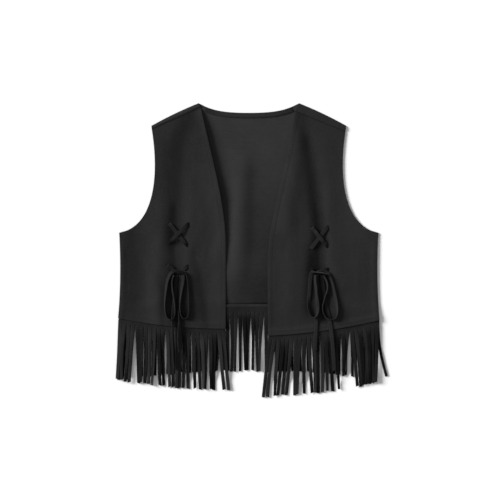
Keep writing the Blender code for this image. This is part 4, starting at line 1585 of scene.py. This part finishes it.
@dataclass
class Lacing:
    """A flat thong through one front: a cross, and a bow with two loops and two tails."""

    shop: Workshop
    side: Side
    plan: LacingPlan
    width: float = 0.0075
    thickness: float = 0.0014
    step: float = 0.0016
    taut_steps: int = 34
    taut_cup: float = 0.0003
    tail_cup: float = 0.0002
    width_waver: float = 0.03
    waver_turns: float = 17.0
    ease_steps: int = 9
    crossing_flat: float = 0.008
    crossing_fade: float = 0.018
    knot_height: float = 0.0068
    knot_depth: float = 0.0090
    knot_reach: float = 0.008
    knot_steps: int = 60
    knot_overlap: float = 0.55
    knot_drift: float = 0.0012
    knot_lean: float = 0.18
    knot_inset: float = 0.0008
    wound_width: float = 0.0086
    wound_cup: float = 0.0002
    band_width: float = 0.0066
    band_lift: float = 0.0012
    band_over: float = 0.0006
    band_stand: float = 0.0020
    arch_power: float = 0.7
    loop_reach: float = 0.003
    over_tail: tuple = (0.004, 0.012)
    lead_pinches: tuple = (0.35, 0.0)
    # Painted shade: the loops are drawn a little darker, as the bow's other strands shade them
    loop_tone: float = -0.10
    pinch: float = 0.34
    pinch_reach: float = 0.013
    pinch_tone: float = -0.75
    hole_dip: float = 0.0016
    hole_dip_reach: float = 0.005
    hole_radius: float = 0.0026
    hole_points: int = 20
    hole_shares: tuple = (0.55, 1.0, 1.0, 0.9, 0.6, 0.2)
    hole_heights: tuple = (-0.0004, -0.0004, 0.0001, 0.00025, 0.0001, 0.0)

    def turned(self, turns: tuple, count: int) -> Array:
        """The turns about a path at even steps along it, eased between a table's shares and degrees.

        Args:
            turns: Pairs of a share along the path and the degrees there.
            count: How many steps.

        Returns:
            The turns in radians, each the mean of its neighbours' straight-line values.
        """
        shares, degrees = np.array(turns).T
        values = np.interp(np.linspace(0, 1, count), shares, np.radians(degrees))
        eased = np.full(self.ease_steps, 1 / self.ease_steps)
        return np.convolve(np.pad(values, self.ease_steps // 2, "edge"), eased, "valid")

    def laid(self, line: Array, lift: Array | float = 0.0, reach: float | None = None) -> Array:
        """A flat line laid over the front, half a thong above the highest cloth in reach.

        Args:
            line: Flat points.
            lift: More height.
            reach: How far round each point the cloth counts, half a thong where it isn't given.

        Returns:
            The line with its heights.
        """
        reach = self.width / 2 if reach is None else reach
        top = self.shop.lie.front_top(self.side, line[:, 0], line[:, 1], reach)
        return with_height(line, top + self.shop.cut.gap + self.thickness / 2 + lift)

    def taut(self, ends: tuple) -> Array:
        """A straight stretch between two holes, over any trough between them, with its ends dipped in."""
        line = self.laid(evenly(np.array(ends), self.taut_steps))
        line[:, 2] = np.maximum(line[:, 2], np.linspace(line[0, 2], line[-1, 2], len(line)))
        along = lengths_along(line)
        from_end = np.minimum(along, along[-1] - along)
        line[:, 2] -= self.hole_dip * (1 - smooth(0.0, self.hole_dip_reach, from_end))
        return line

    def piece(self, part: str, rings: Array, tone: Array | float = 0.0) -> bpy.types.Object:
        """One stretch of the thong, which stands for the solid of that name.

        Args:
            part: The stretch's name.
            rings: Its rings.
            tone: How much lighter or darker it is drawn, in all or at each ring, painted shade included.

        Returns:
            The piece.
        """
        node = f"{self.side.word}_lace_{part}"
        nap = np.broadcast_to(np.reshape(tone, (1, -1, 1)), rings.shape[:3])
        mesh = tube_mesh(f"{self.side.word}_thong_{part}", self.shop.place.moved(rings), nap)
        return self.shop.piece(mesh, self.shop.finishes.thong, "thong", node)

    def strip(
        self,
        part: str,
        centre: Array,
        roll: Array,
        cup: float = 0.0,
        tone: Array | float = 0.0,
        pinch: Array | float = 0.0,
    ) -> bpy.types.Object:
        """A flat strip along a path.

        Args:
            part: The stretch's name.
            centre: The path.
            roll: The turn about the path at each point.
            cup: How far its edges stand above its middle.
            tone: How much lighter or darker it is drawn, painted shade included.
            pinch: The share of its width that it loses.

        Returns:
            The piece.
        """
        waver = 1 + self.width_waver * np.sin(np.linspace(0, self.waver_turns, len(centre)))
        width = self.width * (1 - pinch) * waver
        rings = strip_rings(centre, level_across(centre, roll), width, self.thickness, cup)
        return self.piece(part, rings[None], tone)

    def stretch(self, part: str, line: Array, tone: float, pinches: tuple) -> None:
        """A taut strip that is drawn narrower and darker where it goes into a hole.

        Args:
            part: The stretch's name.
            line: Its path, from a hole.
            tone: How much lighter or darker its nap lies.
            pinches: How much of the full pinch its start and its end have.
        """
        along = lengths_along(line)
        near = pinches[0] * (1 - smooth(0.0, self.pinch_reach, along))
        near += pinches[1] * (1 - smooth(0.0, self.pinch_reach, along[-1] - along))
        tones = tone + self.pinch_tone * near
        self.strip(part, line, np.zeros(len(line)), self.taut_cup, tones, self.pinch * near)

    def crossing(self) -> None:
        """The two taut stretches of the cross, one raised to pass over the other."""
        under, over = self.taut(self.plan.cross_under), self.taut(self.plan.cross_over)
        along = lengths_along(over)
        middle = 1 - smooth(self.crossing_flat, self.crossing_fade, np.abs(along - along[-1] / 2))
        bridge = under[:, 2].max() + self.thickness + self.shop.cut.gap
        over[:, 2] += np.maximum(0, bridge - over[:, 2]) * middle
        self.stretch("cross_under", under, self.plan.cross_tone, self.plan.under_pinches)
        self.stretch("cross_over", over, self.plan.cross_tone, self.plan.over_pinches)

    def bow(self) -> None:
        """The leads, loops and tails of the bow."""
        plan, step = self.plan, self.step
        tails = {"outer": through(plan.tail_outer, step), "inner": through(plan.tail_inner, step)}
        for place in tails:
            lead = self.taut(getattr(plan, f"lead_{place}"))
            self.stretch(f"lead_{place}", lead, plan.lead_tone, self.lead_pinches)
            route = tails[place]
            roll = self.turned(plan.tail_turns, len(route))
            tail = self.laid(route, self.width / 2 * np.abs(np.sin(roll)))
            self.declare(self.strip(f"tail_{place}", tail, roll, self.tail_cup), tail)
            route = through(getattr(plan, f"loop_{place}"), step)
            roll = self.turned(getattr(plan, f"loop_{place}_turns"), len(route))
            apart = np.linalg.norm(route[:, None] - np.vstack(list(tails.values())), axis=2).min(axis=1)
            over_tail = (self.thickness + self.shop.cut.gap) * (1 - smooth(*self.over_tail, apart))
            upright = (self.width - self.thickness) / 2 * np.abs(np.sin(roll))
            loop = self.laid(route, over_tail + upright, self.loop_reach)
            self.declare(self.strip(f"loop_{place}", loop, roll, 0.0, self.loop_tone), loop)

    def declare(self, obj: bpy.types.Object, path: Array) -> None:
        """Works out where a free stretch of thong starts and how long it is, and keeps neither.

        Args:
            obj: Not used.
            path: Its middle, in the cut's own place.
        """
        path = self.shop.place.moved(path)
        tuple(path[0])
        float(lengths_along(path)[-1])

    def knot(self) -> None:
        """The knot: a band wound round the middle of the bow as a flattened ring, and one laid across it."""
        (x, y), steps = self.plan.knot, self.knot_steps
        base = self.shop.lie.front_top(self.side, np.array([x]), np.array([y]), self.knot_reach)[0]
        base += self.shop.cut.gap
        turn = np.linspace(-self.knot_overlap * math.pi, (1 + self.knot_overlap) * math.pi, steps)
        deep, high = self.knot_depth / 2 - self.knot_inset, self.knot_height / 2 - self.knot_inset
        wound = np.stack(
            [
                x + self.knot_drift * np.sin(turn / 2),
                y + deep * np.cos(turn),
                base + self.knot_height / 2 + high * np.sin(turn),
            ],
            axis=1,
        )
        across = unit(np.broadcast_to((1.0, self.knot_lean * self.side.value, 0.0), wound.shape))
        ring = strip_rings(wound, across, np.full(steps, self.wound_width), self.thickness, self.wound_cup)
        band = self.laid(evenly(through(self.plan.knot_band, self.step), steps - 1))
        arch = np.sin(np.linspace(0, math.pi, steps)) ** self.arch_power
        over = base + self.band_lift + (self.knot_height + self.band_over) * arch
        turn = math.radians(self.plan.knot_turn)
        band[:, 2] = np.maximum(band[:, 2], over) + self.band_stand * abs(math.sin(turn))
        across = level_across(band, np.full(steps, turn))
        crossing = strip_rings(band, across, np.full(steps, self.band_width), self.thickness, self.taut_cup)
        # the knot is drawn darker by painted shade, graded along its band
        self.piece("knot", np.stack([ring, crossing]), np.linspace(*self.plan.knot_tones, steps))

    def holes(self) -> None:
        """The punched holes at the ends of the taut stretches: near-black discs, painted shade for each hole's
        hollow, inside a low rounded lip.
        """
        plan = self.plan
        at = np.array([*plan.cross_over, *plan.cross_under, plan.lead_outer[0], plan.lead_inner[0]])
        top = self.shop.lie.front_top(self.side, at[:, 0], at[:, 1], self.hole_radius)
        centre = with_height(at, top)
        turn = np.linspace(0, 2 * math.pi, self.hole_points, endpoint=False)
        ring = np.stack([np.cos(turn), np.sin(turn), np.zeros(self.hole_points)], axis=1) * self.hole_radius
        levels = np.stack([self.hole_shares, self.hole_heights], axis=1)
        rings = centre[:, None, None] + levels[None, :, :1, None] * ring[None, None]
        rings[..., 2] += levels[None, :, 1:]
        mesh = tube_mesh(f"{self.side.word}_thong_holes", self.shop.place.moved(rings))
        self.shop.piece(mesh, self.shop.finishes.hole, "thong")

    def build(self) -> None:
        """Every stretch of the thong on this front."""
        self.bow()
        self.crossing()
        self.knot()
        self.holes()


@dataclass
class Stitching:
    """Rows of lockstitches: short rounded threads, each dipping into the cloth at both ends."""

    shop: Workshop
    pitch: float = 0.0034
    length: float = 0.0027
    thread: float = 0.00050
    steps: int = 6
    proud: float = 0.35
    bow: float = 1.9
    thinnest: float = 0.12
    margin: float = 0.004
    edge_ends: tuple = (6, -3)
    edge_points: int = 300
    hem_points: int = 200
    back_points: int = 300
    above_back_hem: float = 0.0008

    def row(self, name: str, line: Array) -> bpy.types.Object:
        """One row of stitches along a line on the cloth's top.

        Args:
            name: The row's name.
            line: Points of the line.

        Returns:
            The piece.
        """
        along = lengths_along(line)
        middles = np.arange(self.pitch / 2, along[-1], self.pitch)
        share = np.linspace(-0.5, 0.5, self.steps)
        centre = at_lengths(line, (middles[:, None] + share * self.length).ravel())
        centre = centre.reshape(len(middles), self.steps, 3)
        centre[..., 2] += self.thread * (self.proud - self.bow * share**2)
        turn = np.linspace(0, 2 * math.pi, self.steps, endpoint=False)[:, None, None]
        thick = (self.thread / 2) * np.sqrt(np.clip(1 - (self.bow * share) ** 4, self.thinnest, 1))
        ring = np.moveaxis(level_across(centre, turn), 0, 2)
        rings = centre[:, :, None] + thick[None, :, None, None] * ring
        mesh = tube_mesh(name, self.shop.place.moved(rings))
        return self.shop.piece(mesh, self.shop.finishes.thread, "cloth")

    def front(self, side: Side) -> list[bpy.types.Object]:
        """The rows along a front's free edge and above its hem."""
        cut, lie = self.shop.cut, self.shop.lie
        edge, inset = evenly(cut.front_edge(side), self.edge_points), lie.edge_turns[0]
        along_edge = (edge + rightward(edge) * inset)[slice(*self.edge_ends)]
        rows = {"edge": along_edge * (side.value, 1)}
        x = np.linspace(cut.fronts[side].edge_x + inset, cut.side_hem_x - self.margin, self.hem_points)
        for number, turn in enumerate(lie.hem_turns):
            rows[f"hem_{number}"] = np.stack([x * side.value, cut.front_hem_y(side, x) + turn], axis=1)
        made = []
        for part, flat in rows.items():
            top = lie.front(side, flat[:, 0], flat[:, 1]) + cut.cloth / 2
            made.append(self.row(f"{side.word}_front_{part}_stitches", with_height(flat, top)))
        return made

    def inside(self, facing: NeckFacing, root: float) -> list[bpy.types.Object]:
        """The rows on the inside of the back: along the neck's facing and along the fringe's strip.

        Args:
            facing: The facing that is sewn down.
            root: The middle of the strip's cloth.

        Returns:
            The two rows.
        """
        cut, lie = self.shop.cut, self.shop.lie
        flat = facing.at_share(np.array([facing.stitched_at]))[0]
        top = lie.back(flat[:, 0], flat[:, 1]) + cut.cloth / 2 + cut.gap + facing.thickness
        along_neck = self.row("neck_facing_stitches", with_height(flat, top))
        x = np.linspace(-cut.side_hem_x + self.margin, cut.side_hem_x - self.margin, self.back_points)
        flat = np.stack([x, cut.back_hem_y(x) + self.above_back_hem], axis=1)
        along_hem = self.row("back_hem_stitches", with_height(flat, np.full(len(x), root + cut.cloth / 2)))
        return [along_neck, along_hem]


@dataclass
class Studio:
    """The plain pale floor, soft light and the camera straight above."""

    place: Place
    frame_width: float = 1.0
    lens: float = 120.0
    sensor: float = 36.0
    sees_to: float = 50.0
    centre_x: float = 0.0024
    centre_y: float = -0.0006
    floor_size: float = 9.0
    floor_drop: float = 0.0002
    floor_tone: float = 0.86
    key_strength: float = 6.0
    key_angle: float = math.radians(26)
    key_height: float = math.radians(25)
    key_from: float = math.radians(156)
    sky: float = 0.42

    def camera(self) -> None:
        """A long lens straight above, framing a square metre."""
        data = bpy.data.cameras.new("camera")
        data.lens = self.lens
        data.sensor_width = self.sensor
        data.clip_end = self.sees_to
        camera = placed("camera", data)
        height = self.frame_width * self.lens / self.sensor
        camera.location = (self.place.x + self.centre_x, self.place.y + self.centre_y, height)
        bpy.context.scene.camera = camera

    def floor(self) -> None:
        """A level pale sheet a hair below the vest."""
        half = self.floor_size / 2
        line = np.linspace(-half, half, 3)
        flat = np.stack(np.meshgrid(line, line), axis=-1)
        points = with_height(flat, np.full((3, 3), -self.floor_drop)).reshape(-1, 3)
        mesh = fill_mesh("floor", points, [grid_faces(3, 3)], points[:, :2])
        made = bpy.data.materials.new("floor")
        made.use_nodes = True
        matt = {"Base Color": (self.floor_tone,) * 3 + (1,), "Roughness": 1.0, "Specular IOR Level": 0.0}
        fill_inputs(made.node_tree.nodes["Principled BSDF"], matt)
        mesh.materials.append(made)
        obj = placed("floor", mesh)
        obj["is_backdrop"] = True

    def lights(self) -> None:
        """A broad key from the upper left and an even white sky."""
        data = bpy.data.lights.new("key", "SUN")
        data.energy = self.key_strength
        data.angle = self.key_angle
        placed("key", data).rotation_euler = (0.0, math.pi / 2 - self.key_height, self.key_from)
        world = bpy.data.worlds.new("sky")
        world.use_nodes = True
        fill_inputs(world.node_tree.nodes["Background"], {"Color": (1, 1, 1, 1), "Strength": self.sky})
        bpy.context.scene.world = world
        bpy.context.scene.view_settings.view_transform = "Standard"

    def build(self) -> None:
        """The whole setting."""
        self.camera()
        self.floor()
        self.lights()


# How far the tip of each strand swings across, from -X to +X along its hem
SWINGS = {
    "right": (
        -0.0060, -0.0066, -0.0072, -0.0078, 0.0026, -0.0024, -0.0022, -0.0032, -0.0054,
        0.0026, 0.0014, 0.0044, 0.0028, 0.0012, -0.0024, -0.0030, -0.0016,
        0.0034, 0.0052, 0.0026, -0.0024, 0.0004, -0.0026, 0.0096, 0.0104,
    ),
    "left": (
        -0.0134, -0.0138, -0.0080, -0.0106, -0.0096, -0.0108, -0.0024, -0.0064, -0.0006,
        0.0066, 0.0044, 0.0018, 0.0012, 0.0026, 0.0050, 0.0086, -0.0040, 0.0002, -0.0036,
        0.0112, 0.0096, 0.0070, 0.0044, 0.0018, -0.0008, -0.0036,
    ),
    "back": (
        -0.0042, -0.0044, -0.0050, -0.0066, 0.0038, 0.0010, 0.0042, -0.0008, 0.0012, 0.0010,
        0.0020, 0.0006, 0.0000, -0.0010, 0.0014, 0.0004, 0.0026, 0.0008, 0.0000, -0.0006,
        -0.0014, 0.0020, 0.0006, -0.0044, 0.0030, 0.0018, 0.0000, -0.0020, -0.0002, 0.0020,
        -0.0030, -0.0010, 0.0008, -0.0044, 0.0000, -0.0024, 0.0040, 0.0010, -0.0008, 0.0000,
        0.0012, -0.0010, 0.0006, 0.0000, -0.0014, 0.0008, 0.0000, 0.0010, -0.0006, 0.0000,
        -0.0012, 0.0004, 0.0000, -0.0034, 0.0010, 0.0006, -0.0010, 0.0000, 0.0012, 0.0024, 0.0185,
    ),
}

# Strands that are cut short, with the share of the length that they have
SHORT_STRANDS = {"right": {}, "left": {16: 0.74, 17: 0.70, 18: 0.72}, "back": {60: 0.94}}
SWING_CURVES = {"right": 0.9, "left": 0.9, "back": 1.4}
FRINGE_TONES = {Side.RIGHT: -0.04, Side.LEFT: -0.16}

# The thongs as they lie on the fronts, in the cut's own place
LACINGS = {
    Side.RIGHT: LacingPlan(
        cross_over=((-0.1205, 0.0525), (-0.1600, 0.0130)),
        cross_under=((-0.1582, 0.0525), (-0.1232, 0.0075)),
        knot=(-0.1400, -0.0450),
        knot_band=((-0.1545, -0.0405), (-0.1440, -0.0425), (-0.1330, -0.0450), (-0.1232, -0.0520)),
        knot_turn=-25,
        knot_tones=(-0.62, -0.62),
        cross_tone=-0.16,
        lead_tone=-0.08,
        over_pinches=(0.8, 1.0),
        under_pinches=(0.05, 1.0),
        lead_outer=((-0.1636, -0.0300), (-0.1478, -0.0408)),
        lead_inner=((-0.1222, -0.0320), (-0.1318, -0.0412)),
        loop_outer=(
            (-0.1502, -0.0440), (-0.1560, -0.0475), (-0.1622, -0.0620), (-0.1655, -0.0830),
            (-0.1675, -0.1080), (-0.1664, -0.1250), (-0.1632, -0.1352), (-0.1568, -0.1396),
            (-0.1502, -0.1358), (-0.1470, -0.1250), (-0.1484, -0.1060), (-0.1524, -0.0810),
            (-0.1538, -0.0630), (-0.1505, -0.0502),
        ),
        loop_inner=(
            (-0.1312, -0.0502), (-0.1318, -0.0640), (-0.1350, -0.0820), (-0.1374, -0.1080),
            (-0.1370, -0.1240), (-0.1340, -0.1340), (-0.1282, -0.1380), (-0.1222, -0.1338),
            (-0.1192, -0.1230), (-0.1184, -0.1080), (-0.1180, -0.0920), (-0.1200, -0.0660),
            (-0.1240, -0.0490), (-0.1298, -0.0440),
        ),
        tail_outer=(
            (-0.1445, -0.0502), (-0.1475, -0.0900), (-0.1512, -0.1300), (-0.1518, -0.1700),
            (-0.1506, -0.2100), (-0.1490, -0.2380),
        ),
        tail_inner=(
            (-0.1355, -0.0502), (-0.1375, -0.1000), (-0.1390, -0.1400), (-0.1412, -0.1760),
            (-0.1398, -0.2040),
        ),
        loop_outer_turns=((0.0, 155), (0.08, 135), (0.22, 122), (0.32, 106), (0.55, 90), (0.75, 74), (1.0, 55)),
        loop_inner_turns=(
            (0.0, 165), (0.16, 142), (0.26, 108), (0.5, 92), (0.58, 108), (0.70, 124),
            (0.80, 130), (0.90, 124), (1.0, 110),
        ),
        tail_turns=((0.0, 0), (0.40, 6), (0.54, 74), (1.0, 82)),
    ),
    Side.LEFT: LacingPlan(
        cross_over=((0.1254, 0.0453), (0.1568, 0.0057)),
        cross_under=((0.1578, 0.0461), (0.1244, 0.0021)),
        knot=(0.1405, -0.0450),
        knot_band=((0.1245, -0.0448), (0.1350, -0.0455), (0.1480, -0.0470), (0.1575, -0.0498)),
        knot_turn=76,
        knot_tones=(-0.72, -0.05),
        cross_tone=0.0,
        lead_tone=-0.55,
        over_pinches=(0.1, 0.55),
        under_pinches=(0.25, 0.0),
        lead_outer=((0.1590, -0.0385), (0.1490, -0.0418)),
        lead_inner=((0.1225, -0.0395), (0.1320, -0.0418)),
        loop_outer=(
            (0.1485, -0.0502), (0.1555, -0.0640), (0.1570, -0.0770), (0.1515, -0.0960),
            (0.1470, -0.1160), (0.1520, -0.1330), (0.1630, -0.1390), (0.1735, -0.1360),
            (0.1770, -0.1200), (0.1720, -0.0920), (0.1650, -0.0640), (0.1575, -0.0475),
            (0.1507, -0.0440),
        ),
        loop_inner=(
            (0.1303, -0.0440), (0.1250, -0.0480), (0.1222, -0.0680), (0.1210, -0.0880),
            (0.1192, -0.1080), (0.1204, -0.1210), (0.1240, -0.1318), (0.1298, -0.1354),
            (0.1352, -0.1312), (0.1376, -0.1200), (0.1364, -0.1000), (0.1340, -0.0770),
            (0.1322, -0.0620), (0.1325, -0.0502),
        ),
        tail_outer=(
            (0.1450, -0.0502), (0.1525, -0.1000), (0.1610, -0.1400), (0.1662, -0.1760),
            (0.1696, -0.2200), (0.1710, -0.2420),
        ),
        tail_inner=(
            (0.1360, -0.0502), (0.1352, -0.1000), (0.1348, -0.1400), (0.1330, -0.1760),
            (0.1326, -0.2020),
        ),
        loop_outer_turns=(
            (0.0, 120), (0.12, 100), (0.25, 94), (0.55, 90), (0.65, 54),
            (0.74, 32), (0.9, 34), (1.0, 42),
        ),
        loop_inner_turns=(
            (0.0, 6), (0.06, 2), (0.28, 4), (0.42, 60), (0.55, 88), (0.62, 34),
            (0.70, 8), (0.79, 72), (0.86, 46), (1.0, 50),
        ),
        tail_turns=((0.0, 0), (0.3, 6), (0.6, -5), (1.0, 8)),
    ),
}


def fringe_plans(cut: Cut, lie: Lie) -> list[FringePlan]:
    """The three fringes: one under each front's hem, and the back's.

    Args:
        cut: The cut of the vest.
        lie: How it lies.

    Returns:
        Their plans.
    """
    plans = []
    for seed, side in enumerate(Side):
        front = cut.fronts[side]
        x = np.sort(side.value * np.linspace(front.edge_x, cut.side_hem_x, LINE_POINTS))
        hem = np.stack([x, cut.front_hem_y(side, x)], axis=1)
        plans.append(
            FringePlan(
                name=f"{side.word}_front_fringe",
                hem=hem,
                length=0.1130,
                root=lie.front_fringe,
                level=lie.front_fringe,
                seed=seed,
                swings=SWINGS[side.word],
                swing_curve=SWING_CURVES[side.word],
                short=SHORT_STRANDS[side.word],
                tone=FRINGE_TONES[side],
            )
        )
    x = np.linspace(-cut.side_hem_x, cut.side_hem_x, LINE_POINTS)
    hem = np.stack([x, cut.back_hem_y(x)], axis=1)
    plans.append(
        FringePlan(
            name="back_fringe",
            hem=hem,
            length=0.117,
            root=cut.cloth / 2 + lie.lapped,
            level=lie.floor_strand,
            seed=len(Side),
            swings=SWINGS["back"],
            swing_curve=SWING_CURVES["back"],
            short=SHORT_STRANDS["back"],
            tone=-0.28,
            flat_to=0.30,
            bead=0.0008,
            # painted shade on the back's strands under the fronts
            covered_tone=-0.45,
            covered_narrow=0.08,
            taper=0.27,
        )
    )
    return plans


def main() -> None:
    """Builds the setting and every piece of the vest, and works out the boxes of the solids and of the looks.
    """
    logging.basicConfig(level=logging.INFO, format="%(name)s %(message)s")
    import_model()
    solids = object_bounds()
    cut = Cut()
    lie = Lie(cut)
    place = Place.of_solids(cut)
    Studio(place).build()
    shop = Workshop(cut, lie, place, Finishes.made())
    for side, plan in LACINGS.items():
        Lacing(shop, side, plan).build()
    plans = fringe_plans(cut, lie)
    fringes = {plan.name: Fringe(shop, plan).build() for plan in plans}
    facing = NeckFacing(shop)
    stitching = Stitching(shop)
    BackPanel(shop).build([facing.build(), *stitching.inside(facing, plans[-1].root), *fringes["back_fringe"]])
    for side in Side:
        FrontPanel(shop, side).build([*stitching.front(side), *fringes[f"{side.word}_front_fringe"]])
    boxes = [[[float(value) for value in corner] for corner in box] for box in (solids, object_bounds())]


if __name__ == "__main__":
    main()
